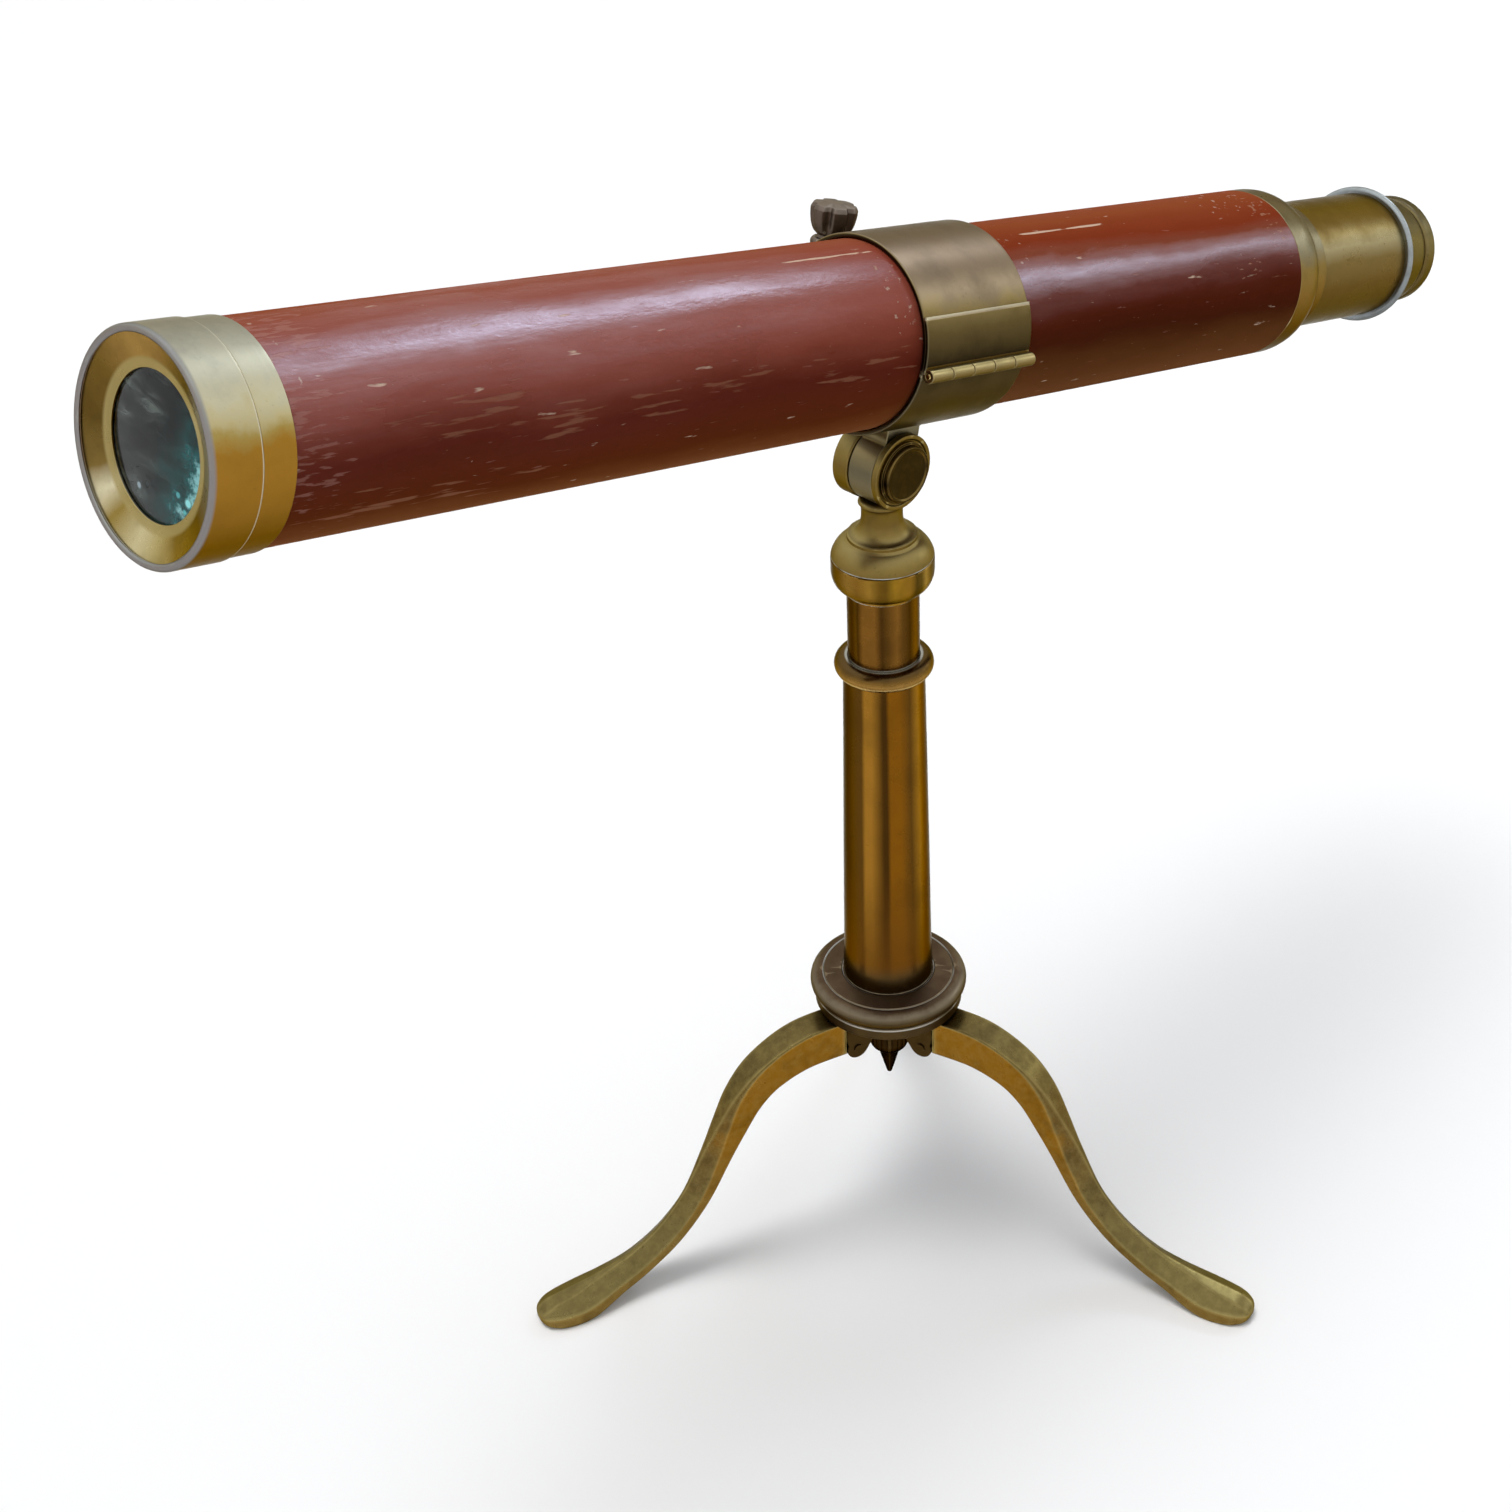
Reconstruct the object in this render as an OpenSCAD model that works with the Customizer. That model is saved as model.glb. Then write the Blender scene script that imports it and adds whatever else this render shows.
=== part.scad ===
// Table telescope: a painted wooden barrel in a hinged brass cradle, on a turned brass
// column with three folding legs. The table is z = 0, the column stands on the Z axis
// and the objective points along +X, raised by the tilt of the cradle.

/* [Barrel] */
// Outside diameter of the wooden barrel
barrel_d = 60; // [56:0.5:64]
// Thickness of the barrel wall
barrel_wall = 5; // [3.5:0.5:6]
// From the middle of the cradle to the front end of the painted barrel
barrel_front = 259; // [220:1:300]
// From the middle of the cradle to the rear end of the painted barrel
barrel_rear = 181.5; // [160:0.5:220]
// Depth of the turned-down step at each barrel end
spigot_step = 1.6; // [1:0.1:2]
// Length of the front step, inside the objective ferrule
front_spigot_len = 5; // [3:0.5:8]
// Length of the rear step, inside the rear cap
rear_spigot_len = 8; // [4:0.5:8]
// Bore of the light stops inside the barrel
stop_bore_d = 36; // [28:1:40]
// Thickness of each light stop
stop_t = 1.5; // [1:0.5:3]
// From the front end of the barrel back to the first light stop
stop_setback = 90; // [60:5:120]
// Distance between the light stops
stop_pitch = 70; // [50:5:80]

/* [Objective] */
// Outside diameter of the fixed ferrule
ferrule_d = 61.4; // [60.6:0.2:64]
// Length of the fixed ferrule
ferrule_len = 10; // [8.5:0.5:14]
// How far the cell that screws into the ferrule stands proud of it
cell_step = 0.8; // [0.4:0.1:1.2]
// Length of the cell in front of the ferrule
cell_len = 15.8; // [14:0.2:20]
// Thickness of the rolled front rim
rim_t = 2.4; // [1.6:0.2:3]
// Depth of the dished bezel
dish_depth = 3.2; // [2:0.2:5]
// Diameter of the glass
lens_d = 43; // [42:0.5:46]
// Clear diameter in front of the glass
clear_d = 39.6; // [36:0.2:40.6]
// Thickness of the lip in front of the glass
lip_t = 0.8; // [0.6:0.1:1.5]
// Radius of curvature of the front glass face
crown_front_r = 180; // [140:5:300]
// Radius of curvature of the two faces between the glasses
crown_rear_r = 130; // [110:5:200]
// Edge thickness of the front glass
crown_edge = 3.2; // [2.5:0.1:4]
// Thickness of the ring between the glasses
spacer_t = 0.7; // [0.5:0.1:1]
// Edge thickness of the rear glass
flint_edge = 5.4; // [5:0.2:6]
// Thickness of the ring that holds the glasses in
lens_ring_t = 3; // [2:0.2:3]

/* [Eyepiece end] */
// Outside diameter of the draw tube
draw_d = 46.6; // [43:0.2:47]
// Wall of the draw tube
draw_wall = 0.8; // [0.6:0.1:1.2]
// Length of draw tube that shows, as the telescope is set
draw_show = 55.5; // [40:0.5:70]
// How far the draw tube still pulls out
draw_out = 100; // [80:1:110]
// Length of the rear cap behind the painted barrel
cap_len = 24.5; // [22:0.5:34]
// Length of the straight band on the rear cap
cap_band = 7; // [3:0.5:9]
// Wall of the rear cap round the draw tube
cap_neck_wall = 1.2; // [0.8:0.1:1.6]
// Length of the neck of the rear cap
cap_neck_len = 4; // [2:0.5:6]
// Length of the sleeve that guides the draw tube
guide_len = 52; // [40:1:60]
// Diameter of the flange behind the draw tube
flange_d = 51.4; // [49.5:0.2:56]
// Thickness of that flange
flange_t = 3; // [2:0.2:5]
// Length of the flange's spigot inside the draw tube
flange_spigot = 10; // [6:1:14]
// Outside diameter of the eyepiece body
eyepiece_d = 44; // [42:0.2:46]
// Length of the eyepiece body
eyepiece_len = 17.5; // [16:0.5:24]
// Outside diameter of the eyecup
eyecup_d = 41; // [39:0.2:44]
// Length of the eyecup
eyecup_len = 7; // [6:0.5:10]
// Hole that the eye looks through
eye_hole_d = 14; // [10:0.5:18]
// Outside diameter of the tube that carries the erecting lenses
erector_d = 36; // [32:0.5:38]
// Wall of that tube
erector_wall = 0.8; // [0.6:0.1:1.2]
// Length of that tube
erector_len = 190; // [170:5:200]

/* [Cradle] */
// How far the objective is raised
tilt = 13.6; // [0:0.1:30]
// Length of the cradle along the barrel
cradle_len = 50; // [40:1:60]
// Thickness of the cradle's sheet brass
cradle_wall = 1.6; // [1.4:0.1:2.2]
// Gap between the cradle and the barrel
cradle_gap = 0.3; // [0.2:0.05:0.4]
// From the tilting pivot up to the axis of the barrel
pivot_to_axis = 46.6; // [46:0.2:52]
// Angle of the cradle hinge below the middle of the barrel
hinge_drop = 5.5; // [4:0.5:10]
// Diameter of the hinge knuckles
knuckle_d = 4.4; // [4:0.1:5]
// Diameter of the hinge pin
hinge_pin_d = 2; // [1.6:0.1:2.4]
// Number of hinge knuckles
knuckle_count = 5; // [3:2:7]
// Thickness of the hinge leaves
leaf_t = 0.9; // [0.6:0.1:1.2]
// Angle that the upper leaf reaches round the strap
leaf_up = 26; // [20:0.5:30]
// Angle that the lower leaf reaches round the cradle
leaf_down = 24; // [16:0.5:30]
// Height of the split between the clamp lugs above the barrel axis
split_z = 9; // [7:0.5:10]
// Thickness of each clamp lug
lug_t = 5.4; // [4.5:0.2:6]
// Width of the clamp lugs
lug_w = 15; // [13:0.5:18]
// From the barrel axis out to the clamp screw
screw_y = 36.5; // [36.5:0.5:40]
// Diameter of the clamp screw
screw_d = 5; // [4:0.5:6]
// Diameter of the turned collar of the clamp screw
screw_collar_d = 13; // [11:0.5:14]
// Height of that collar
screw_collar_h = 3.6; // [3:0.2:5]
// Height of the flared head above the collar
screw_head_h = 10.6; // [10:0.2:15]
// Diameter of the flared head
screw_head_d = 15.6; // [14:0.2:18]
// Number of finger hollows round the flared head
screw_lobes = 6; // [4:1:8]
// Thickness of the washer under the clamp screw
screw_washer_t = 1.2; // [0.8:0.1:1.6]

/* [Tilting joint] */
// From the capital's top face up to the tilting pivot
pivot_rise = 34.5; // [34:0.5:37]
// Diameter of the joint's round cheeks
cheek_d = 26; // [24:0.5:27]
// Overall thickness of the joint
joint_w = 20; // [18:0.5:24]
// Thickness of the far cheek
far_cheek = 6.6; // [5:0.2:8]
// Thickness of the near cheek
near_cheek = 2.4; // [2:0.2:4]
// Diameter of the pivot bolt
pivot_d = 8; // [6:0.5:9]
// Diameter of the pivot bolt's round head
pivot_head_d = 19.6; // [16:0.2:22]
// Height of that head
pivot_head_h = 2.4; // [1.6:0.2:4]
// Diameter of the nut on the far cheek
pivot_nut_d = 16; // [14:0.5:20]
// Thickness of that nut
pivot_nut_t = 3; // [2:0.2:4]

/* [Column] */
// Height of the top of the base flange above the table
base_top = 108.5; // [104:0.5:114]
// Diameter of the base flange over its round edge
base_d = 58.4; // [54:0.2:62]
// Thickness of the base flange
base_t = 13; // [12:0.5:15]
// Diameter of the column at the bottom
shaft_low_d = 33.4; // [31:0.2:36]
// Diameter of the column under the ring
shaft_high_d = 28.5; // [27:0.2:30]
// Length of the column between the base flange and the ring
shaft_len = 132.4; // [120:0.1:140]
// Diameter over the ring
ring_d = 34.6; // [32:0.2:37]
// Thickness of the ring
ring_t = 6.6; // [5:0.2:8]
// Diameter of the column's neck
neck_d = 24.9; // [23:0.1:25]
// Length of the neck that shows between the ring and the capital
neck_show = 26.5; // [20:0.1:32]
// Wall of the neck tube
neck_wall = 3.2; // [2.5:0.1:3.5]
// Length of neck tube inside the column
neck_seat = 40; // [24:1:50]
// Diameter of the capital and of the swivel head above it
capital_d = 35.2; // [33:0.2:38]
// Height of the capital
capital_h = 13; // [12:0.5:16]
// Diameter of the swivel spindle
spindle_d = 10; // [8:0.5:11]
// Length of the bush round the spindle
bush_len = 44; // [30:1:48]
// Diameter of the swivel head's waist
waist_d = 14; // [12.5:0.5:17]
// Diameter of the tie rod
tie_rod_d = 8; // [6:0.5:9]
// Length of the plug in the foot of the column
plug_len = 22; // [16:1:30]

/* [Legs] */
// Direction of the first leg from the telescope
leg_turn = -16; // [-60:1:60]
// From the column axis out to the tip of a foot
leg_reach = 153.5; // [135:0.5:170]
// Width of a leg at its root
leg_w = 12; // [11:0.5:13]
// Height of a leg at its root
leg_h = 16; // [13:0.2:17]
// From the column axis out to a leg's hinge pin
leg_pivot_r = 17; // [16:0.5:19]
// From the base flange down to the leg hinge pins
leg_pivot_drop = 15.5; // [13.5:0.5:17]
// Diameter of the leg hinge pins
leg_pin_d = 3.2; // [2.6:0.2:4]
// Thickness of the tongue on each leg
leg_tongue = 5.2; // [4.6:0.2:6]
// Radius of the rounded hinge ears
ear_r = 4.4; // [4:0.1:5]
// Depth of the hub under the base flange
hub_h = 12; // [11:0.5:14]
// Length of the drop finial under the hub
finial_len = 27; // [24:0.2:30]
// Diameter of the drop finial at the top
finial_d = 15.2; // [13:0.2:17]

/* [Hidden] */
$fn = 96;
seat = 0.05;          // gap between fixed pieces that fit one another
run = 0.05;           // radial clearance of a shaft that turns or slides
slot = 0.3;           // gap between faces that pass one another
swing = 0.7;          // room round the clamp screw as the strap swings off it
big = 400;            // larger than any piece

barrel_r = barrel_d / 2;
bore_r = barrel_r - barrel_wall;
spigot_r = barrel_r - spigot_step;

// Objective, along the barrel axis from the middle of the cradle
ferrule_end = barrel_front + ferrule_len;
cell_end = ferrule_end + cell_len;
cell_d = ferrule_d + 2 * cell_step;
dish_r = cell_d / 2 - rim_t / 2 - 0.6;
lip_front = cell_end - rim_t / 2 - dish_depth;
lip_back = lip_front - lip_t;
glass_r = lens_d / 2 - run;
crown_edge_x = lip_back - seat - sag(crown_front_r, glass_r) + sag(crown_front_r, clear_d / 2);
crown_back_x = crown_edge_x - crown_edge;
flint_front_x = crown_back_x - spacer_t;
flint_back_x = flint_front_x - flint_edge;

// Eyepiece end, along the barrel axis, all behind the cradle
draw_r = draw_d / 2;
draw_bore_r = draw_r - draw_wall;
cap_end = -barrel_rear - cap_len;
cap_neck_r = draw_r + run + cap_neck_wall;
guide_back = -barrel_rear - rear_spigot_len - seat;
guide_front = guide_back + guide_len;
flange_front = cap_end - draw_show;
flange_back = flange_front - flange_t;
stop_ring_t = 5;
stop_ring_back = guide_front + draw_out + 2;
draw_front = stop_ring_back + stop_ring_t;
eyepiece_back = flange_back - eyepiece_len;
eyecup_back = eyepiece_back - eyecup_len;
erector_r = erector_d / 2;
erector_bore_r = erector_r - erector_wall;
erector_back = flange_front - seat;
erector_front = erector_back + erector_len;
small_lens_r = erector_bore_r - seat;

// Cradle
cradle_in = barrel_r + cradle_gap;
cradle_out = cradle_in + cradle_wall;
hinge_at = cradle_out + knuckle_d / 2;
hinge_y = hinge_at * cos(hinge_drop);
hinge_z = -hinge_at * sin(hinge_drop);
knuckle_pitch = cradle_len / knuckle_count;
lug_top = split_z + slot / 2 + lug_t;
lug_low = split_z - slot / 2 - lug_t;
screw_seat = lug_top + screw_washer_t;
screw_tip = lug_low + 1;

// Tilting joint, across the barrel
far_face = -joint_w / 2;
near_face = joint_w / 2;
tongue_far = far_face + far_cheek + slot;
tongue_near = near_face - near_cheek - slot;
cheek_r = cheek_d / 2;
tongue_r = cheek_r - 0.4;
saddle_h = pivot_to_axis - cradle_out - cheek_r - 0.6;

// Column
base_low = base_top - base_t;
hub_low = base_low - hub_h;
leg_pivot_z = base_low - leg_pivot_drop;
ring_low = base_top + shaft_len;
ring_z = ring_low + ring_t / 2;
neck_r = neck_d / 2;
shaft_bore_r = neck_r + seat;
neck_low = ring_low - neck_seat;
capital_low = ring_low + ring_t + neck_show;
capital_top = capital_low + capital_h;
pivot_z = capital_top + pivot_rise;
neck_top = capital_low + 3;
neck_bore_r = neck_r - neck_wall;
spindle_r = spindle_d / 2;
bush_low = neck_top - bush_len;
head_low = capital_top + slot;
head_top = pivot_z - cheek_r + 0.6;
capital_r = capital_d / 2;
waist_r = waist_d / 2;
waist_low = head_top - 6;
waist_high = head_top - 4.5;
spindle_top = head_low + 11;
tie_rod_r = tie_rod_d / 2;
tie_rod_hold = 0.44 * finial_len;

// Legs: share of the way out, share of the way up, height and width as shares of the
// root, and how far the top is cut back to a ridge
leg_count = 3;
leg_root_r = leg_pivot_r + ear_r + slot + 0.2;
leg_root_z = base_low - leg_h / 2 - 0.9;
leg_rings = 30;
leg_shape = [
    [0.000, 1.000, 1.00, 1.00, 0.10],
    [0.130, 0.998, 0.97, 1.00, 0.10],
    [0.240, 0.938, 0.87, 0.97, 0.14],
    [0.312, 0.846, 0.80, 0.95, 0.30],
    [0.368, 0.717, 0.73, 0.93, 0.55],
    [0.417, 0.590, 0.67, 0.92, 0.78],
    [0.489, 0.400, 0.61, 0.92, 0.90],
    [0.577, 0.251, 0.57, 0.94, 0.90],
    [0.677, 0.153, 0.55, 1.02, 0.88],
    [0.764, 0.104, 0.57, 1.20, 0.84],
    [0.867, 0.0555, 0.64, 1.50, 0.72],
    [0.951, 0.0445, 0.52, 1.30, 0.62],
    [1.000, 0.036, 0.24, 0.66, 0.40],
];

// Points on an ellipse about [cr, cz]
function bend(cr, cz, ar, az, from, to, steps = 8) =
    [for (i = [0:steps]) let (t = from + (to - from) * i / steps) [cr + ar * cos(t), cz + az * sin(t)]];

// How far a lens face of this radius has curved back at distance r from its axis
function sag(face_r, r) = face_r - sqrt(face_r * face_r - r * r);

// Points of a lens face from the axis to its edge; side is 1 where it swells forwards
function lens_face(edge_x, face_r, edge_r, side, steps = 8) =
    [for (i = [0:steps]) let (r = edge_r * i / steps)
        [r, edge_x + side * (sag(face_r, edge_r) - sag(face_r, r))]];

function reversed(list) = [for (i = [len(list) - 1:-1:0]) list[i]];

// A smooth curve through a list of stations, at a place from 0 to the last index
function station(list, place) =
    let (
        i = min(floor(place), len(list) - 2),
        t = place - i,
        a = list[max(i - 1, 0)],
        b = list[i],
        c = list[i + 1],
        d = list[min(i + 2, len(list) - 1)]
    )
    0.5 * (2 * b + (c - a) * t + (2 * a - 5 * b + 4 * c - d) * t * t + (3 * b - a - 3 * c + d) * t * t * t);

// Turns an outline of [radius, height] points about the Z axis
module turned(outline) {
    rotate_extrude() polygon(outline);
}

// Puts its children in the barrel's frame: X along the barrel, Y across, Z up from its axis
module in_barrel() {
    translate([0, 0, pivot_z]) rotate([0, -tilt, 0]) translate([0, 0, pivot_to_axis]) children();
}

// Turns an outline of [radius, place along the barrel] points about the barrel's axis
module on_barrel(outline) {
    in_barrel() rotate([0, 90, 0]) turned(outline);
}

// A plain ring about the barrel's axis
module barrel_ring(inner_r, outer_r, from, to) {
    on_barrel([[inner_r, from], [outer_r, from], [outer_r, to], [inner_r, to]]);
}

// A round bar along X
module bar(r, from, to) {
    translate([from, 0, 0]) rotate([0, 90, 0]) cylinder(r = r, h = to - from);
}

// A round bar along Y
module cross_bar(r, from, to) {
    translate([0, from, 0]) rotate([-90, 0, 0]) cylinder(r = r, h = to - from);
}

// Barrel

module barrel() {
    color("sienna") on_barrel([
        [bore_r, -barrel_rear - rear_spigot_len], [spigot_r, -barrel_rear - rear_spigot_len],
        [spigot_r, -barrel_rear], [barrel_r, -barrel_rear],
        [barrel_r, barrel_front], [spigot_r, barrel_front],
        [spigot_r, barrel_front + front_spigot_len], [bore_r, barrel_front + front_spigot_len],
    ]);
}

module barrel_stops() {
    color("dimgray") for (i = [0:1]) {
        at = barrel_front - stop_setback - i * stop_pitch;
        barrel_ring(stop_bore_d / 2, bore_r - seat, at, at + stop_t);
    }
}

// Objective

module objective_ferrule() {
    color("goldenrod") on_barrel([
        [spigot_r + seat, barrel_front], [ferrule_d / 2 - 0.3, barrel_front],
        [ferrule_d / 2, barrel_front + 0.3], [ferrule_d / 2, ferrule_end - 0.3],
        [ferrule_d / 2 - 0.3, ferrule_end], [spigot_r + seat, ferrule_end],
    ]);
}

module objective_cell() {
    rim_r = rim_t / 2;
    rim_wrap = 140;
    color("gold") on_barrel(concat(
        [[glass_r + run, barrel_front + front_spigot_len + seat], [glass_r + run, lip_back],
         [clear_d / 2, lip_back], [clear_d / 2, lip_front],
         [lens_d / 2, lip_front], [dish_r, cell_end - rim_r]],
        bend(cell_d / 2 - rim_r, cell_end - rim_r, rim_r, rim_r, rim_wrap, 0),
        [[cell_d / 2, ferrule_end + 0.4],
         [cell_d / 2 - 0.4, ferrule_end], [spigot_r, ferrule_end],
         [spigot_r, barrel_front + front_spigot_len + seat]]
    ));
}

module crown_lens() {
    color("lightcyan", 0.5) on_barrel(concat(
        lens_face(crown_edge_x, crown_front_r, glass_r, 1),
        reversed(lens_face(crown_back_x, crown_rear_r, glass_r, -1))
    ));
}

module lens_spacer() {
    inner_r = glass_r - 0.9;
    crown_low_x = crown_back_x - sag(crown_rear_r, glass_r) + sag(crown_rear_r, inner_r);
    color("silver") barrel_ring(inner_r, glass_r, flint_front_x + seat, crown_low_x - seat);
}

module flint_lens() {
    color("lightcyan", 0.5) on_barrel(concat(
        lens_face(flint_front_x, crown_rear_r, glass_r, -1),
        [[glass_r, flint_back_x], [0, flint_back_x]]
    ));
}

module lens_ring() {
    color("goldenrod")
        barrel_ring(glass_r - 3, glass_r, flint_back_x - seat - lens_ring_t, flint_back_x - seat);
}

// Rear cap and the sleeve for the draw tube

module rear_cap() {
    band_end = -barrel_rear - cap_band;
    neck_front = cap_end + cap_neck_len;
    round_r = (barrel_r - cap_neck_r) / 2;
    curve_mid = (band_end + neck_front) / 2;
    color("darkgoldenrod") on_barrel(concat(
        [[spigot_r + seat, -barrel_rear], [barrel_r, -barrel_rear]],
        bend(barrel_r - round_r, band_end, round_r, curve_mid - band_end, 0, 90),
        reversed(bend(cap_neck_r + round_r, neck_front, -round_r, curve_mid - neck_front, 0, 90)),
        [[cap_neck_r, cap_end + 0.3], [cap_neck_r - 0.3, cap_end], [draw_r + run, cap_end],
         [draw_r + run, guide_back], [spigot_r + seat, guide_back]]
    ));
}

module draw_guide() {
    color("burlywood") barrel_ring(draw_r + run, bore_r - seat, guide_back + seat, guide_front);
}

// Draw tube and eyepiece

module draw_tube() {
    color("goldenrod") barrel_ring(draw_bore_r, draw_r, flange_front + seat, draw_front);
}

module draw_stop_ring() {
    color("goldenrod") barrel_ring(draw_r + seat, bore_r - slot, stop_ring_back, draw_front);
}

module eyepiece_flange() {
    edge = flange_t / 2;
    color("lightgray") on_barrel(concat(
        [[erector_r + seat, flange_back], [flange_d / 2 - edge, flange_back]],
        bend(flange_d / 2 - edge, flange_back + edge, edge, edge, -90, 90),
        [[draw_bore_r - seat, flange_front], [draw_bore_r - seat, flange_front + flange_spigot],
         [erector_r + seat, flange_front + flange_spigot]]
    ));
}

module eyepiece_body() {
    groove = 1;
    color("darkgoldenrod") on_barrel([
        [small_lens_r - 2, flange_back - seat], [eyepiece_d / 2, flange_back - seat],
        [eyepiece_d / 2 - 1.2, eyepiece_back + 3 * groove],
        [eyepiece_d / 2 - 1.7, eyepiece_back + 2 * groove],
        [eyepiece_d / 2 - 2.5, eyepiece_back + groove], [eyepiece_d / 2 - 2.5, eyepiece_back],
        [eye_hole_d / 2 + 3, eyepiece_back], [eye_hole_d / 2 + 3, eyepiece_back + 4 * groove],
        [eye_hole_d / 2 + 5 + seat, eyepiece_back + 4 * groove], [eye_hole_d / 2 + 5 + seat, flange_back - 4],
        [small_lens_r - 2, flange_back - 4],
    ]);
}

module eyecup() {
    edge = 1.6;
    color("darkgoldenrod") on_barrel(concat(
        [[eye_hole_d / 2, eyecup_back + 3], [eyecup_d / 2 - 2 * edge, eyecup_back]],
        bend(eyecup_d / 2 - edge, eyecup_back + edge, edge, edge, -90, 0),
        bend(eyecup_d / 2 - edge, eyepiece_back - edge - seat, edge, edge, 0, 90),
        [[eye_hole_d / 2, eyepiece_back - seat]]
    ));
}

// A lens in the eyepiece end, flat in front and swelling behind
module small_lens(back, edge_t, edge_r) {
    on_barrel(concat(
        [[0, back + edge_t], [edge_r, back + edge_t]],
        reversed(lens_face(back, 2 * edge_r, edge_r, -1, 6))
    ));
}

module eye_lens() {
    color("lightcyan", 0.5) small_lens(eyepiece_back + 6.4, 2, eye_hole_d / 2 + 5);
}

module eye_lens_ring() {
    color("goldenrod")
        barrel_ring(eye_hole_d / 2 + 2, eye_hole_d / 2 + 5, eyepiece_back + 8.4 + seat, eyepiece_back + 10.4);
}

module erector_tube() {
    color("goldenrod") barrel_ring(erector_bore_r, erector_r, erector_back, erector_front);
}

field_lens_set = 14;
middle_lens_set = 92;
front_lens_set = 8;
field_lens_x = erector_back + field_lens_set;
erector_lens_x = [erector_back + middle_lens_set, erector_front - front_lens_set];
lens_edge = 2.4;

module field_lens() {
    color("lightcyan", 0.5) small_lens(field_lens_x, lens_edge, small_lens_r);
}

module erector_lenses() {
    color("lightcyan", 0.5) for (x = erector_lens_x) small_lens(x, lens_edge, small_lens_r);
}

module erector_rings() {
    color("goldenrod") for (x = concat([field_lens_x], erector_lens_x))
        barrel_ring(small_lens_r - 2.5, small_lens_r, x + lens_edge + seat, x + lens_edge + 2);
}

module erector_stop() {
    at = (erector_lens_x[0] + erector_lens_x[1]) / 2;
    color("dimgray") barrel_ring(3, small_lens_r, at, at + 1.5);
}

// Cradle and strap

module cradle_sheet() {
    difference() {
        bar(cradle_out, -cradle_len / 2, cradle_len / 2);
        bar(cradle_in, -cradle_len, cradle_len);
    }
}

// The space of one half of the clamp; way is -1 for the cradle below and 1 for the strap above
module half_space(way) {
    for (side = [-1, 1]) {
        level = (side > 0 ? hinge_z : split_z) + way * slot / 2;
        translate([-big / 2, side > 0 ? 0 : -big, way > 0 ? level : level - big]) cube([big, big, big]);
    }
}

// A hinge leaf on the outside of the sheet, between two angles on the near side
module leaf(from, to) {
    reach = 2 * cradle_out;
    intersection() {
        difference() {
            bar(cradle_out + leaf_t, -cradle_len / 2, cradle_len / 2);
            bar(cradle_out - cradle_wall / 2, -cradle_len, cradle_len);
        }
        translate([-cradle_len, 0, 0]) rotate([90, 0, 90]) linear_extrude(2 * cradle_len)
            polygon([[0, 0], [reach * cos(from), reach * sin(from)], [reach * cos(to), reach * sin(to)]]);
    }
}

// The hinge knuckles of one half, with the webs that join them to their leaf
module knuckles(way, first, extra_r, extra_len) {
    for (i = [first:2:knuckle_count - 1]) {
        from = -cradle_len / 2 + i * knuckle_pitch + slot / 2 - extra_len;
        to = from + knuckle_pitch - slot + 2 * extra_len;
        translate([0, hinge_y, hinge_z]) bar(knuckle_d / 2 + extra_r, from, to);
        if (extra_r == 0)
            translate([from, hinge_y - knuckle_d / 2 - cradle_wall / 2,
                       hinge_z + (way > 0 ? slot / 2 : -knuckle_d / 2)])
                cube([to - from, knuckle_d / 2 + cradle_wall / 2, knuckle_d / 2 - slot / 2]);
    }
}

// A clamp lug on the far side
module lug(low) {
    translate([0, -screw_y, low]) cylinder(r = lug_w / 2, h = lug_t);
    translate([-lug_w / 2, -screw_y, low]) cube([lug_w, screw_y - 0.8 * cradle_in, lug_t]);
}

// One half of the clamp, still without its screw hole
module clamp_half(way) {
    difference() {
        union() {
            intersection() {
                union() {
                    cradle_sheet();
                    if (way > 0) leaf(-hinge_drop, leaf_up);
                    else leaf(-leaf_down, -hinge_drop);
                }
                half_space(way);
            }
            knuckles(way, way > 0 ? 1 : 0, 0, 0);
            lug(way > 0 ? lug_top - lug_t : lug_low);
        }
        knuckles(way, way > 0 ? 0 : 1, slot, slot);
        bar(cradle_in, -cradle_len, cradle_len);
        translate([0, hinge_y, hinge_z]) bar(hinge_pin_d / 2 + run, -cradle_len, cradle_len);
    }
}

module cradle() {
    stem_w = 0.6 * cheek_d;
    pad_l = 0.66 * cheek_d;
    color("darkkhaki") in_barrel() difference() {
        union() {
            clamp_half(-1);
            translate([0, 0, -pivot_to_axis]) cross_bar(tongue_r, tongue_far, tongue_near);
            translate([-stem_w / 2, tongue_far, -pivot_to_axis])
                cube([stem_w, tongue_near - tongue_far, pivot_to_axis - cradle_out + 1]);
            translate([-pad_l / 2, far_face + 1, -cradle_out - saddle_h])
                cube([pad_l, joint_w - 2, saddle_h + 3]);
        }
        bar(cradle_in, -cradle_len, cradle_len);
        translate([0, 0, -pivot_to_axis]) cross_bar(pivot_d / 2 + run, -big / 2, big / 2);
        translate([0, -screw_y, lug_low - 1]) cylinder(d = screw_d + 2 * swing, h = lug_t + 2);
    }
}

module strap() {
    color("darkkhaki") in_barrel() difference() {
        clamp_half(1);
        translate([0, -screw_y, lug_top - lug_t - 1]) cylinder(d = screw_d + 2 * slot, h = lug_t + 2);
    }
}

module cradle_hinge_pin() {
    color("goldenrod") in_barrel() translate([0, hinge_y, hinge_z])
        bar(hinge_pin_d / 2, -cradle_len / 2 - 1.2, cradle_len / 2);
}

module clamp_washer() {
    color("tan") in_barrel() translate([0, -screw_y, lug_top + seat]) difference() {
        cylinder(d = screw_collar_d - 0.6, h = screw_washer_t - 2 * seat);
        translate([0, 0, -1]) cylinder(d = screw_d + 2 * slot, h = screw_washer_t + 2);
    }
}

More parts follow.
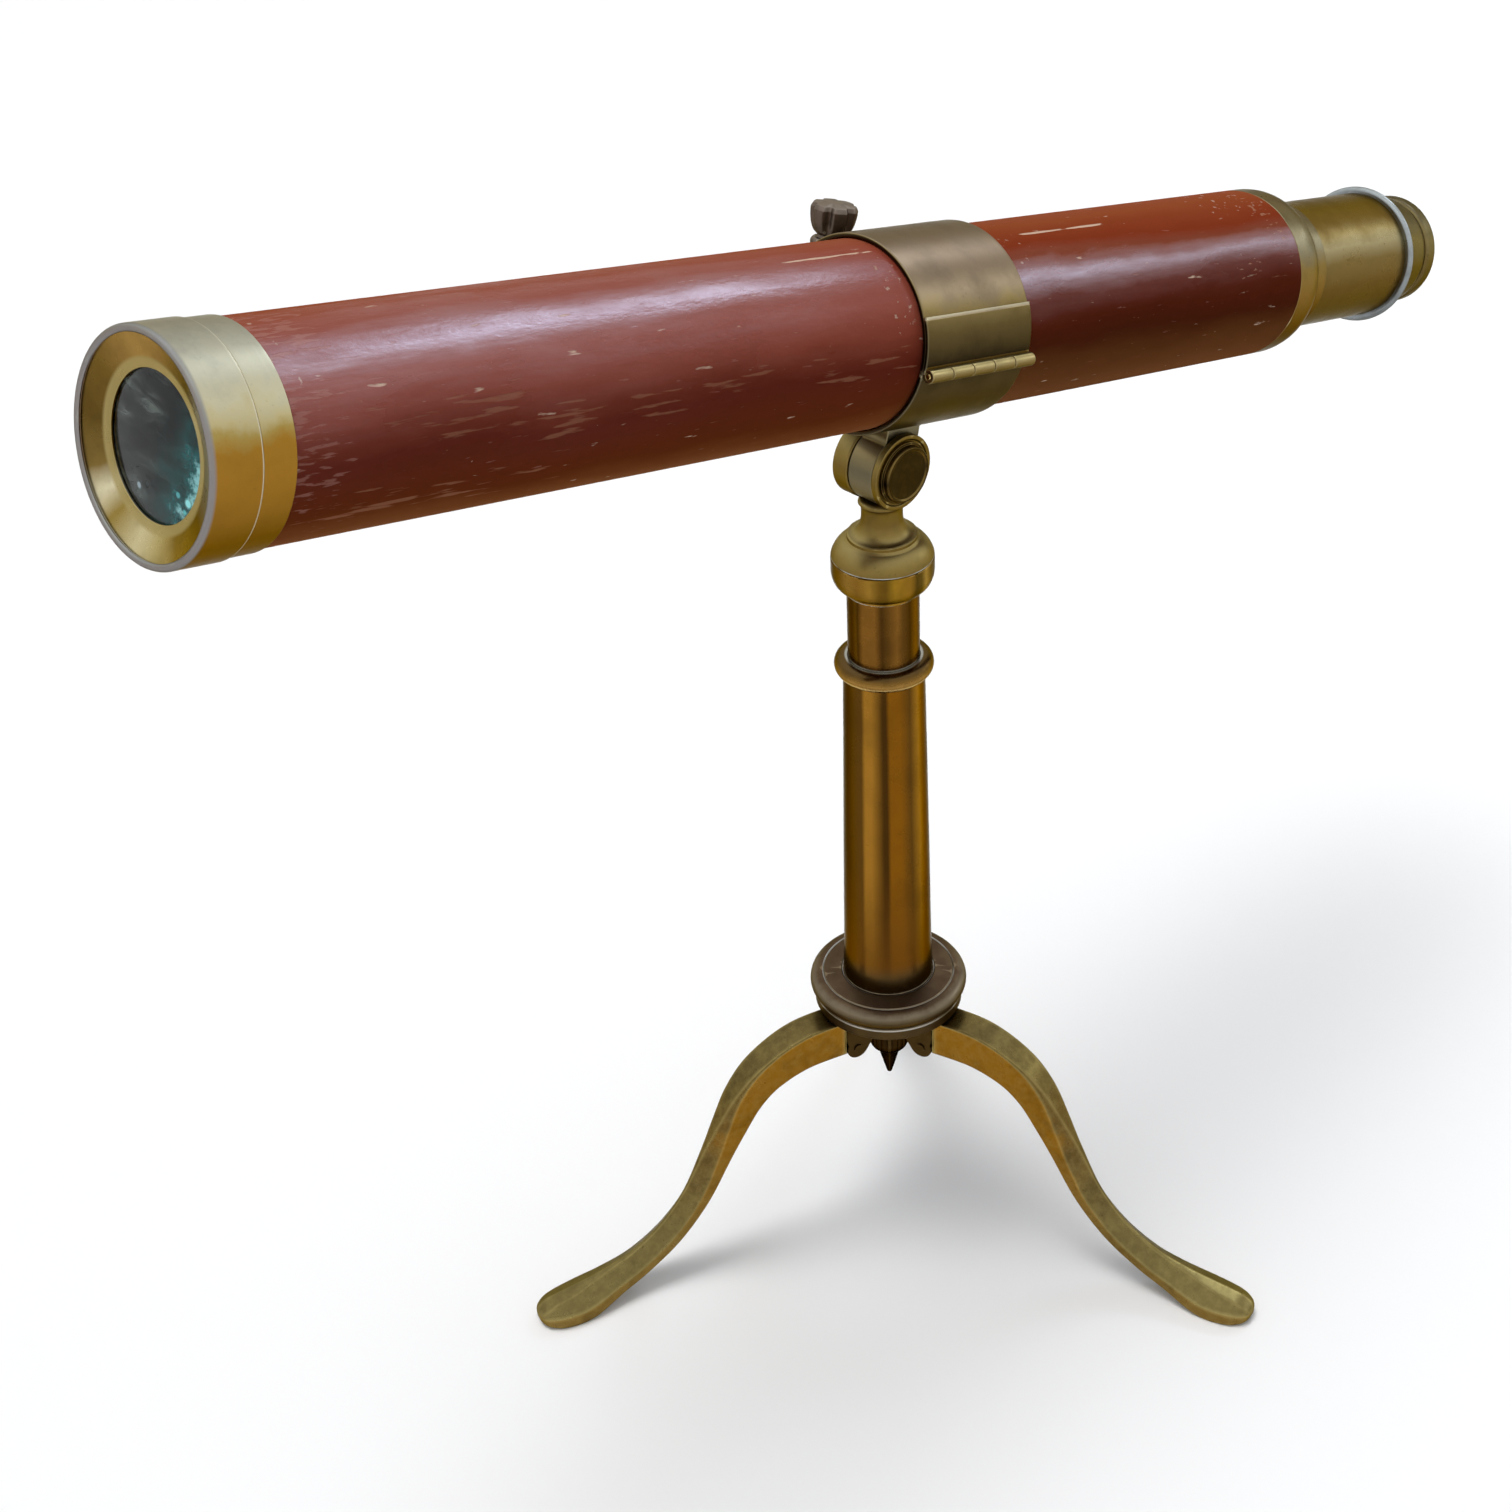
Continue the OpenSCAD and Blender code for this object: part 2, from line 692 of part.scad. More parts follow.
module thumbscrew() {
    collar_r = screw_collar_d / 2;
    neck_h = 1;
    head_low_z = screw_collar_h + neck_h;
    head_r = screw_head_d / 2;
    head_top_z = head_low_z + screw_head_h;
    hollow_r = 0.5 * head_r;
    color("rosybrown") in_barrel() translate([0, -screw_y, screw_seat]) difference() {
        turned(concat(
            [[0, screw_tip - screw_seat], [screw_d / 2 - 0.5, screw_tip - screw_seat],
             [screw_d / 2, screw_tip - screw_seat + 0.5], [screw_d / 2, 0]],
            bend(collar_r - screw_collar_h / 2, screw_collar_h / 2,
                 screw_collar_h / 2, screw_collar_h / 2, -90, 90),
            [[0.55 * head_r, screw_collar_h]],
            bend(0.55 * head_r, head_top_z - 2, 0.45 * head_r, 2 - screw_head_h, 90, 0),
            [[0.9 * head_r, head_top_z - 0.6], [0.5 * head_r, head_top_z], [0, head_top_z]]
        ));
        for (i = [0:screw_lobes - 1]) rotate([0, 0, (i + 0.5) * 360 / screw_lobes])
            translate([head_r + 0.7 * hollow_r, 0, head_low_z]) cylinder(r = hollow_r, h = 2 * screw_head_h);
    }
}

// Swivel head and tilting joint

module swivel_head() {
    shoulder_r = 0.46 * capital_r;
    shoulder_z = head_low - 2.1;
    shoulder_out = capital_r + 0.2 - shoulder_r;
    shoulder_h = 9.6;
    step_r = 0.68 * capital_r;
    step_z = head_low + 7.1;
    step_h = 1;
    cove_r = step_r - 0.6;
    cove_z = step_z + step_h + 0.4;
    flare_r = joint_w / 2 + 0.4;
    color("darkkhaki") difference() {
        union() {
            turned(concat(
                [[0, head_low]],
                bend(shoulder_r, shoulder_z, shoulder_out, shoulder_h, 12.6, 62),
                [[step_r, step_z], [step_r, step_z + step_h]],
                bend(cove_r, waist_low, waist_r - cove_r, cove_z - waist_low, 90, 0),
                bend(flare_r, waist_high, waist_r - flare_r, head_top - waist_high, 0, 90),
                [[0, head_top]]
            ));
            translate([0, 0, pivot_z]) {
                cross_bar(cheek_r, far_face, far_face + far_cheek);
                cross_bar(cheek_r, near_face - near_cheek, near_face);
            }
        }
        translate([0, 0, pivot_z]) {
            cross_bar(cheek_r, far_face + far_cheek, near_face - near_cheek);
            cross_bar(pivot_d / 2 + run, -big / 2, big / 2);
            cross_bar(cheek_r - 1.6, near_face - 0.7, near_face + 1);
        }
        translate([0, 0, head_low - 1]) cylinder(r = spindle_r + seat, h = spindle_top - head_low + 1);
    }
}

// The bolt's stepped head covers the near cheek
module pivot_bolt() {
    step_r = pivot_head_d / 2 + 0.9;
    head_from = near_face - 0.7 + seat;
    color("peru") translate([0, 0, pivot_z]) rotate([-90, 0, 0]) turned([
        [0, far_face - pivot_nut_t - 1], [pivot_d / 2 - 0.6, far_face - pivot_nut_t - 1],
        [pivot_d / 2, far_face - pivot_nut_t - 0.4], [pivot_d / 2, head_from],
        [step_r, head_from], [step_r, near_face + 0.3], [pivot_head_d / 2, near_face + 0.3],
        [pivot_head_d / 2, near_face + pivot_head_h - 0.6],
        [pivot_head_d / 2 - 0.6, near_face + pivot_head_h],
        [0, near_face + pivot_head_h],
    ]);
}

module pivot_nut() {
    key_r = 1;
    color("peru") translate([0, 0, pivot_z]) difference() {
        rotate([-90, 0, 0]) turned([
            [pivot_d / 2 + seat, far_face - pivot_nut_t], [pivot_nut_d / 2 - 0.6, far_face - pivot_nut_t],
            [pivot_nut_d / 2, far_face - pivot_nut_t + 0.6], [pivot_nut_d / 2, far_face - seat],
            [pivot_d / 2 + seat, far_face - seat],
        ]);
        for (side = [-1, 1])
            translate([side * (pivot_d + pivot_nut_d) / 4, 0, 0])
                cross_bar(key_r, far_face - pivot_nut_t - 1, far_face - pivot_nut_t + 1.5);
    }
}

module swivel_spindle() {
    thread_r = 0.6 * spindle_r;
    color("silver") turned([
        [0, bush_low - 9], [thread_r, bush_low - 9], [thread_r, bush_low + 0.5], [spindle_r, bush_low + 0.5],
        [spindle_r, spindle_top - seat], [0, spindle_top - seat],
    ]);
}

module spindle_washer() {
    color("tan") turned([
        [0.6 * spindle_r + seat, bush_low - 1.8], [neck_bore_r - 1, bush_low - 1.8],
        [neck_bore_r - 1, bush_low - slot], [0.6 * spindle_r + seat, bush_low - slot],
    ]);
}

module spindle_nut() {
    nut_d = 2 * (neck_bore_r - 2);
    color("silver") translate([0, 0, bush_low - 6.4]) difference() {
        cylinder(d = nut_d, h = 4.5, $fn = 6);
        translate([0, 0, -1]) cylinder(r = 0.6 * spindle_r + seat, h = 7);
    }
}

// Column

module capital() {
    fillet_r = neck_r + 0.7;
    fillet_h = 1.5;
    round_h = 6.5;
    color("goldenrod") turned(concat(
        [[neck_r + seat, capital_low], [fillet_r, capital_low]],
        bend(fillet_r, capital_low + fillet_h + round_h, capital_r - fillet_r, round_h, -90, 0),
        [[capital_r, capital_top - 0.5], [capital_r - 0.5, capital_top], [spindle_r + 1, capital_top],
         [spindle_r + 1, neck_top + seat], [neck_r + seat, neck_top + seat]]
    ));
}

module spindle_bush() {
    color("peru") turned([
        [spindle_r + run, bush_low], [neck_bore_r - seat, bush_low], [neck_bore_r - seat, neck_top],
        [spindle_r + run, neck_top],
    ]);
}

module column_neck() {
    color("goldenrod") turned([
        [neck_bore_r, neck_low], [neck_r, neck_low], [neck_r, neck_top], [neck_bore_r, neck_top],
    ]);
}

module column_ring() {
    half = ring_t / 2;
    color("goldenrod") turned(concat(
        [[neck_r + seat, ring_z - half], [ring_d / 2 - half, ring_z - half]],
        bend(ring_d / 2 - half, ring_z, half, half, -90, 90, 12),
        [[neck_r + seat, ring_z + half]]
    ));
}

module column_shaft() {
    color("goldenrod") turned([
        [shaft_bore_r, base_top], [shaft_low_d / 2, base_top],
        [shaft_high_d / 2, ring_low], [shaft_bore_r, ring_low],
    ]);
}

module column_plug() {
    color("peru") turned([
        [tie_rod_r + seat, base_top], [shaft_bore_r - seat, base_top],
        [shaft_bore_r - seat, base_top + plug_len], [tie_rod_r + seat, base_top + plug_len],
    ]);
}

module tie_rod() {
    color("silver") turned([
        [0, hub_low - tie_rod_hold], [tie_rod_r, hub_low - tie_rod_hold],
        [tie_rod_r, base_top + plug_len - 1], [0, base_top + plug_len - 1],
    ]);
}

module base_flange() {
    rim = 4.2;
    rim_half = 3.7;
    rim_drop = 4.6;
    rim_from = -50;
    rim_to = 95;
    plate_r = base_d / 2 - 1.7;
    color("saddlebrown") turned(concat(
        [[tie_rod_r + seat, base_low], [plate_r - 0.6, base_low], [plate_r, base_low + 0.6],
         [plate_r, base_top - rim_drop - rim_half + 0.6]],
        bend(base_d / 2 - rim, base_top - rim_drop, rim, rim_half, rim_from, rim_to),
        [[base_d / 2 - rim - 0.7, base_top - rim_drop + rim_half + 0.2], [shaft_low_d / 2 + 0.1, base_top],
         [tie_rod_r + seat, base_top]]
    ));
}

// Hub and legs

module leg_frame(i) {
    rotate([0, 0, leg_turn + i * 360 / leg_count]) children();
}

// The hub's pair of ears for one leg, with the face that stops the open leg
module ears() {
    t = leg_w / 2 - leg_tongue / 2 - slot / 2;
    for (from = [leg_tongue / 2 + slot / 2, -leg_w / 2])
        translate([0, from + t, 0]) rotate([90, 0, 0]) linear_extrude(t) {
            translate([leg_pivot_r, leg_pivot_z]) circle(r = ear_r);
            polygon([
                [0, hub_low + 0.5], [finial_d / 2 + 1.6, hub_low + 0.5],
                [leg_pivot_r - 0.9 * ear_r, leg_pivot_z - 0.45 * ear_r],
                [leg_pivot_r, leg_pivot_z - 0.8 * ear_r], [leg_pivot_r + 0.8 * ear_r, leg_pivot_z],
                [leg_root_r - slot, leg_pivot_z + 1.2 * ear_r], [leg_root_r - slot, base_low - 0.5],
                [0, base_low - 0.5],
            ]);
        }
}

module leg_hub() {
    core_r = leg_pivot_r - ear_r - slot;
    color("saddlebrown") difference() {
        union() {
            translate([0, 0, hub_low]) cylinder(r = core_r, h = hub_h);
            for (i = [0:leg_count - 1]) leg_frame(i) ears();
        }
        for (i = [0:leg_count - 1]) leg_frame(i)
            translate([leg_pivot_r, 0, leg_pivot_z]) cross_bar(leg_pin_d / 2 + run, -leg_w, leg_w);
        translate([0, 0, hub_low - 1]) cylinder(r = tie_rod_r + seat, h = hub_h + 2);
    }
}

module leg_pins() {
    color("goldenrod") for (i = [0:leg_count - 1]) leg_frame(i)
        translate([leg_pivot_r, 0, leg_pivot_z]) cross_bar(leg_pin_d / 2, -leg_w / 2 - 0.5, leg_w / 2 + 0.5);
}

module drop_finial() {
    r = finial_d / 2;
    tip = hub_low - finial_len;
    rod_end = hub_low - tie_rod_hold - seat;
    color("saddlebrown") turned(concat(
        [[0, tip], [0.12 * r, tip + 0.2],
         [0.3 * r, tip + 0.19 * finial_len], [0.47 * r, tip + 0.37 * finial_len]],
        bend(0.62 * r, tip + 0.66 * finial_len, 0.38 * r, 0.16 * finial_len, -90, 0),
        [[r, hub_low - seat], [tie_rod_r + seat, hub_low - seat], [tie_rod_r + seat, rod_end], [0, rod_end]]
    ));
}

// A leg's section at a place along it: an upright bar with its top corners cut back
function leg_place(k) = station(leg_shape, k * (len(leg_shape) - 1) / leg_rings);
function leg_spine(s) = [leg_root_r + s[0] * (leg_reach - leg_root_r), s[1] * leg_root_z];
function leg_ring(k) =
    let (
        s = leg_place(k),
        before = leg_spine(leg_place(max(k - 0.5, 0))),
        after = leg_spine(leg_place(min(k + 0.5, leg_rings))),
        along = (after - before) / norm(after - before),
        up = k == 0 ? [0, 1] : [-along[1], along[0]],
        at = leg_spine(s),
        h = s[2] * leg_h / 2,
        w = s[3] * leg_w / 2,
        c = s[4] * w,
        d = s[4] * (0.7 + 0.5 * s[4]) * h,
        e = 0.12 * w,
        outline = [[w, h - d], [w - c, h], [c - w, h], [-w, h - d], [-w, e - h], [e - w, -h], [w - e, -h], [w, e - h]]
    )
    [for (p = outline) [at[0] + up[0] * p[1], p[0], at[1] + up[1] * p[1]]];

module leg_bar() {
    n = 8;
    last = leg_rings * n;
    polyhedron(
        [for (k = [0:leg_rings]) each leg_ring(k)],
        concat(
            [[for (j = [0:n - 1]) j]],
            [for (k = [0:leg_rings - 1], j = [0:n - 1], half = [0, 1])
                let (a = k * n + j, b = k * n + (j + 1) % n)
                half == 0 ? [a, a + n, b] : [b, a + n, b + n]],
            [[for (j = [n - 1:-1:0]) last + j]]
        ),
        convexity = 6
    );
}

module leg(i) {
    eye_r = ear_r - 0.2;
    color("darkgoldenrod") leg_frame(i) difference() {
        union() {
            leg_bar();
            translate([leg_pivot_r, 0, leg_pivot_z]) cross_bar(eye_r, -leg_tongue / 2, leg_tongue / 2);
            translate([leg_pivot_r, -leg_tongue / 2, leg_pivot_z])
                cube([leg_root_r - leg_pivot_r + 2, leg_tongue, eye_r]);
        }
        translate([leg_pivot_r, 0, leg_pivot_z]) cross_bar(leg_pin_d / 2 + run, -leg_w, leg_w);
        translate([0, -leg_w, -big]) cube([big, 2 * leg_w, big]);
    }
}

barrel();
objective_ferrule();
objective_cell();
crown_lens();
lens_spacer();
flint_lens();
lens_ring();
barrel_stops();
rear_cap();
draw_guide();
draw_tube();
draw_stop_ring();
eyepiece_flange();
eyepiece_body();
eyecup();
eye_lens();
eye_lens_ring();
erector_tube();
field_lens();
erector_lenses();
erector_stop();
erector_rings();
cradle();
cradle_hinge_pin();
strap();
clamp_washer();
thumbscrew();
swivel_head();
pivot_bolt();
pivot_nut();
swivel_spindle();
spindle_washer();
spindle_nut();
capital();
spindle_bush();
column_neck();
column_ring();
column_shaft();
column_plug();
base_flange();
leg_hub();
leg_pins();
drop_finial();
tie_rod();
leg(0);  // leg_1
leg(1);  // leg_2
leg(2);  // leg_3
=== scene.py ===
import math
import bmesh
import bpy
from mathutils import Matrix, Vector


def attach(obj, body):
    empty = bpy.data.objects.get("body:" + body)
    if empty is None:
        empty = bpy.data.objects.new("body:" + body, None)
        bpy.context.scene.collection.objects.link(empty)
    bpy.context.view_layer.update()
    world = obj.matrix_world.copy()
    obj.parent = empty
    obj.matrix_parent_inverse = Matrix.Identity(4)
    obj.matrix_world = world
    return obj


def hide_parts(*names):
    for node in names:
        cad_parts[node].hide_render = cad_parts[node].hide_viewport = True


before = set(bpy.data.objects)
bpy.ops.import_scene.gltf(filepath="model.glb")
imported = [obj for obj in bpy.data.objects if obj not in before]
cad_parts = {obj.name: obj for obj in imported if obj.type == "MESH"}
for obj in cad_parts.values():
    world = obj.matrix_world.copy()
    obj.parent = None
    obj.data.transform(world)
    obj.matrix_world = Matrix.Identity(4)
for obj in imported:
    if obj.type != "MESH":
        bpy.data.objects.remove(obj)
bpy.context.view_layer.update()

# Legs: three brass castings, filed to an upright bar at the root that thins to a ridged claw and
# spreads into a slipper foot. Each has a tongue that turns on a pin in the hub.
MM = 0.001
LEG_TURN = -16.0
LEG_ROOT = (21.9, 86.6)
LEG_REACH = 153.5
LEG_W = 12.0
LEG_H = 16.0
LEG_PIVOT = (17.0, 80.0)
LEG_TONGUE = 5.2
LEG_EYE_R = 4.2
LEG_OVERLAP = 2.0
ARRIS = 0.5
ARRIS_EDGE = 1.5
TOE = 0.55
# share of the way out, share of the way up, height and width as shares of the root, cut of the ridge
LEG_SHAPE = [
    (0.000, 1.000, 1.00, 1.00, 0.10), (0.130, 0.998, 0.97, 1.00, 0.10), (0.240, 0.938, 0.87, 0.97, 0.14),
    (0.312, 0.846, 0.80, 0.95, 0.30), (0.368, 0.717, 0.73, 0.93, 0.55), (0.417, 0.590, 0.67, 0.92, 0.78),
    (0.489, 0.400, 0.61, 0.92, 0.90), (0.577, 0.251, 0.57, 0.94, 0.90), (0.677, 0.153, 0.55, 1.02, 0.88),
    (0.764, 0.104, 0.57, 1.20, 0.84), (0.867, 0.0555, 0.64, 1.50, 0.72), (0.951, 0.0445, 0.52, 1.30, 0.62),
    (1.000, 0.036, 0.24, 0.66, 0.40)]


def skin(rings, wrap=False):
    """A closed bmesh over rings of points: wrapped end to end, or with its two ends capped."""
    data = bmesh.new()
    rows = [[data.verts.new(point) for point in ring] for ring in rings]
    count = len(rings[0])
    for i in range(len(rows) - (0 if wrap else 1)):
        a, b = rows[i], rows[(i + 1) % len(rows)]
        for k in range(count):
            j = (k + 1) % count
            data.faces.new((a[k], a[j], b[j], b[k]))
    if not wrap:
        data.faces.new(rows[0])
        data.faces.new(rows[-1])
    bmesh.ops.remove_doubles(data, verts=data.verts, dist=1e-4)
    return data


def slab(outline, low, high, across, edge=0.3):
    """A plate from an outline, from low to high along the axis it is named across, with eased edges."""
    area = sum(a[0] * b[1] - b[0] * a[1] for a, b in zip(outline, outline[1:] + outline[:1]))
    inward = 1.0 if area > 0 else -1.0
    normals = []
    for i, here in enumerate(outline):
        a = (Vector(here) - Vector(outline[i - 1])).normalized()
        b = (Vector(outline[(i + 1) % len(outline)]) - Vector(here)).normalized()
        along = (a + b).normalized()
        lean = max(0.5, abs(along.dot(a)))
        normals.append(Vector((-along.y, along.x)) * inward / lean)
    rings = []
    for inset, level in ((edge, low), (0.3 * edge, low + 0.3 * edge), (0, low + edge),
                         (0, high - edge), (0.3 * edge, high - 0.3 * edge), (edge, high)):
        ring = [Vector(p) + n * inset for p, n in zip(outline, normals)]
        rings.append([{"X": (level, u, v), "Y": (u, level, v), "Z": (u, v, level)}[across]
                      for u, v in ring])
    return skin(rings)


def arc(cu, cv, r, start, end, steps=24):
    """Points on a circle, from one angle to another in degrees."""
    turns = [math.radians(start + (end - start) * i / steps) for i in range(steps + 1)]
    return [(cu + r * math.cos(t), cv + r * math.sin(t)) for t in turns]


def piece(name, parts, place, body, *nodes):
    """One object from bmeshes drawn in millimetres, set in place, smooth, riding its body for its nodes."""
    whole = bmesh.new()
    for part in parts:
        bmesh.ops.recalc_face_normals(part, faces=part.faces)
        bmesh.ops.scale(part, vec=(MM, MM, MM), verts=part.verts)
        part_mesh = bpy.data.meshes.new("part")
        part.to_mesh(part_mesh)
        part.free()
        whole.from_mesh(part_mesh)
        bpy.data.meshes.remove(part_mesh)
    mesh = bpy.data.meshes.new(name)
    whole.to_mesh(mesh)
    whole.free()
    mesh.polygons.foreach_set("use_smooth", [True] * len(mesh.polygons))
    obj = bpy.data.objects.new(name, mesh)
    bpy.context.scene.collection.objects.link(obj)
    obj.matrix_world = place
    bpy.context.view_layer.update()
    even = obj.modifiers.new("even_normals", "WEIGHTED_NORMAL")
    even.keep_sharp = True
    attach(obj, body)
    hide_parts(*nodes)
    return obj


def leg_station(at):
    """The leg's shape at a place from 0 at the root to 12 at the toe, on a curve through the stations."""
    last = len(LEG_SHAPE) - 1
    at = min(max(at, 0.0), last)
    i = min(int(at), last - 1)
    t = at - i
    a, b, c, d = (LEG_SHAPE[min(max(i + k, 0), last)] for k in (-1, 0, 1, 2))
    return [0.5 * (2 * q + (r - p) * t + (2 * p - 5 * q + 4 * r - s) * t * t
                   + (3 * q - p - 3 * r + s) * t ** 3) for p, q, r, s in zip(a, b, c, d)]


def leg_bar(steps=110):
    """The swept bar of one leg, with its arrises just taken off and the pad worn flat on the table."""
    last = len(LEG_SHAPE) - 1
    rings = []
    for k in range(steps + 1):
        at = last * k / steps
        share = leg_station(at)
        spine = [(LEG_ROOT[0] + s[0] * (LEG_REACH - LEG_ROOT[0]), s[1] * LEG_ROOT[1])
                 for s in (leg_station(at - 0.15), leg_station(at + 0.15), share)]
        along = (Vector(spine[1]) - Vector(spine[0])).normalized()
        up = Vector((0, 1)) if k == 0 else Vector((-along.y, along.x))
        # the bar rounds over into the toe in the last half station
        toe = max(0.0, (at - last + TOE) / TOE)
        h = share[2] * LEG_H / 2 * (1 - 0.45 * toe ** 3)
        w = share[3] * LEG_W / 2 * (1 - 0.6 * toe ** 3)
        c = share[4] * w
        d = share[4] * (0.7 + 0.5 * share[4]) * h
        e = 0.12 * w
        corners = [Vector(p) for p in ((w, h - d), (w - c, h), (c - w, h), (-w, h - d), (-w, e - h),
                                       (e - w, -h), (w - e, -h), (w, e - h))]
        ring = []
        for j, corner in enumerate(corners):
            back, on = corners[j - 1] - corner, corners[(j + 1) % 8] - corner
            a = corner + back * min(0.25, ARRIS / max(back.length, 1e-6))
            b = corner + on * min(0.25, ARRIS / max(on.length, 1e-6))
            before = corner + back * min(0.42, ARRIS_EDGE / max(back.length, 1e-6))
            after = corner + on * min(0.42, ARRIS_EDGE / max(on.length, 1e-6))
            ring += [before, a, a * 0.25 + corner * 0.5 + b * 0.25, b, after]
        rings.append([(spine[2][0] + up.x * p.y, p.x, max(0.0, spine[2][1] + up.y * p.y)) for p in ring])
    return skin(rings)


def colour(hex_value):
    """A linear colour from an sRGB hex value."""
    value = hex_value.lstrip("#")
    parts = [int(value[i:i + 2], 16) / 255 for i in (0, 2, 4)]
    return tuple(c / 12.92 if c <= 0.04045 else ((c + 0.055) / 1.055) ** 2.4 for c in parts) + (1.0,)


def feed(node, inputs):
    """Sets a node's inputs, each from a value, a socket, or a node whose first live output is linked."""
    for key, value in inputs.items():
        if isinstance(value, bpy.types.Node):
            value = next(socket for socket in value.outputs if socket.enabled)
        if isinstance(value, bpy.types.NodeSocket):
            node.id_data.links.new(value, node.inputs[key])
        else:
            node.inputs[key].default_value = value


def add(tree, kind, inputs=None, stops=None, **settings):
    """One shader node with its settings and links; the stops of a ramp are (place, sRGB hex)."""
    node = tree.nodes.new("ShaderNode" + kind)
    for key, value in settings.items():
        setattr(node, key, value)
    feed(node, inputs or {})
    for i, (place, value) in enumerate(stops or []):
        elements = node.color_ramp.elements
        element = elements[0] if i == 0 else elements[-1] if i == len(stops) - 1 else elements.new(place)
        element.position = place
        element.color = colour(value)
    return node


def blank_material(name):
    """A material with its principled shader, and its node tree."""
    material = bpy.data.materials.new(name)
    material.use_nodes = True
    tree = material.node_tree
    return material, tree, tree.nodes["Principled BSDF"]


def per_metre(mm):
    """A texture scale that gives features of about this many millimetres."""
    return 1000.0 / mm


def old_brass(name, facing=None, around=None, lines=(), dirt="#2a2012", worn="#b3a06c", mottled=0.35,
              patch_mm=9.0, rough=0.3, pits=0.3, grain=None, edge="#bcb5a4", post="Z", rubbed=0.55,
              low_tint=None, rubs=0.0, rub_from=0.525):
    """Brass that has lost its lacquer. Its film runs from tint to tint by which way the face looks (facing,
    from -1 down to 1 up) or round the axis named post (around, in degrees). These tints hold painted light
    as well as the tarnish: paler where a face would mirror the bright sky, browner and darker where it
    would mirror the table, and upright bands of painted reflection round a turned post. Mottled patches,
    dark pits, rubbed corners and fine marks across the grain go over that. Lines run along an axis or round
    it (axis, low, high in mm, and a tint where the line is whole), most of them pale. The tint given for
    low down takes over from one height in mm down to another, as far as its last number. Small patches are
    rubbed down to the worn tint as far as rubs, and corners as far as rubbed, where they are sharper than
    rub_from."""
    material, tree, shader = blank_material(name)
    source = add(tree, "TexCoord")
    place = source.outputs["Object"]
    parts = add(tree, "SeparateXYZ", {"Vector": place})
    patches = add(tree, "TexNoise",
                  {"Vector": place, "Scale": per_metre(patch_mm), "Detail": 5.0, "Roughness": 0.6})
    drift = add(tree, "Math", {0: patches, 1: -0.5}, operation="ADD")
    if facing:
        look = add(tree, "SeparateXYZ", {"Vector": source.outputs["Normal"]}).outputs["Z"]
        stops = [((n + 1) / 2, tint) for n, tint in facing]
        uneven = add(tree, "Math", {0: drift, 1: 0.35, 2: look}, operation="MULTIPLY_ADD")
        share = add(tree, "MapRange", {"Value": uneven, "From Min": -1.0, "From Max": 1.0})
    else:
        first, second = ("X", "Y") if post == "Z" else ("Y", "Z")
        turn_round = add(tree, "Math", {0: parts.outputs[second], 1: parts.outputs[first]},
                         operation="ARCTAN2")
        stops = [((degrees + 180) / 360, tint) for degrees, tint in around]
        long_drift = add(tree, "Mapping", {"Vector": place, "Scale": (1.0, 1.0, 0.12)})
        streak = add(tree, "TexNoise", {"Vector": long_drift, "Scale": per_metre(6), "Detail": 3.0})
        sway = add(tree, "Math", {0: streak, 1: -0.5}, operation="ADD")
        uneven = add(tree, "Math", {0: sway, 1: 0.12, 2: turn_round}, operation="MULTIPLY_ADD")
        share = add(tree, "MapRange", {"Value": uneven, "From Min": -math.pi, "From Max": math.pi})
    # the tints of the film: tarnish together with painted light and reflection
    film_and_painted_light = add(tree, "ValToRGB", {"Fac": share}, stops=stops)
    if low_tint:
        tint, high, low, most = low_tint
        down = add(tree, "MapRange",
                   {"Value": parts.outputs["Z"], "From Min": high * MM, "From Max": low * MM,
                    "To Max": most})
        film_and_painted_light = add(tree, "Mix", {"Factor": down, "A": film_and_painted_light, "B": colour(tint)}, data_type="RGBA")
    # patches where the film is thicker and darker, of the size given
    thick = add(tree, "MapRange", {"Value": patches, "From Min": 0.48, "From Max": 0.72, "To Max": mottled})
    coat = add(tree, "Mix", {"Factor": thick, "A": film_and_painted_light, "B": colour(dirt)}, data_type="RGBA")
    # pits and specks of about 1.4 mm
    specks = add(tree, "TexNoise",
                 {"Vector": place, "Scale": per_metre(1.4), "Detail": 3.0, "Roughness": 0.55})
    spots = add(tree, "MapRange", {"Value": specks, "From Min": 0.66, "From Max": 0.76, "To Max": pits})
    speckled = add(tree, "Mix", {"Factor": spots, "A": coat, "B": colour(dirt)}, data_type="RGBA")
    if rubs:
        # worn patches of about 3 mm
        fine = add(tree, "TexNoise",
                   {"Vector": place, "Scale": per_metre(3.2), "Detail": 6.0, "Roughness": 0.72})
        thin = add(tree, "MapRange", {"Value": fine, "From Min": 0.42, "From Max": 0.74, "To Max": rubs})
        speckled = add(tree, "Mix", {"Factor": thin, "A": speckled, "B": colour(worn)}, data_type="RGBA")
    # corners rubbed bright and hollows dirty
    form = add(tree, "NewGeometry").outputs["Pointiness"]
    hollow = add(tree, "MapRange", {"Value": form, "From Min": 0.475, "From Max": 0.42, "To Max": 0.4})
    dirty = add(tree, "Mix", {"Factor": hollow, "A": speckled, "B": colour(dirt)}, data_type="RGBA")
    corner = add(tree, "MapRange",
                 {"Value": form, "From Min": rub_from, "From Max": rub_from + 0.065, "To Max": rubbed})
    finish = add(tree, "Mix", {"Factor": corner, "A": dirty, "B": colour(worn)}, data_type="RGBA")
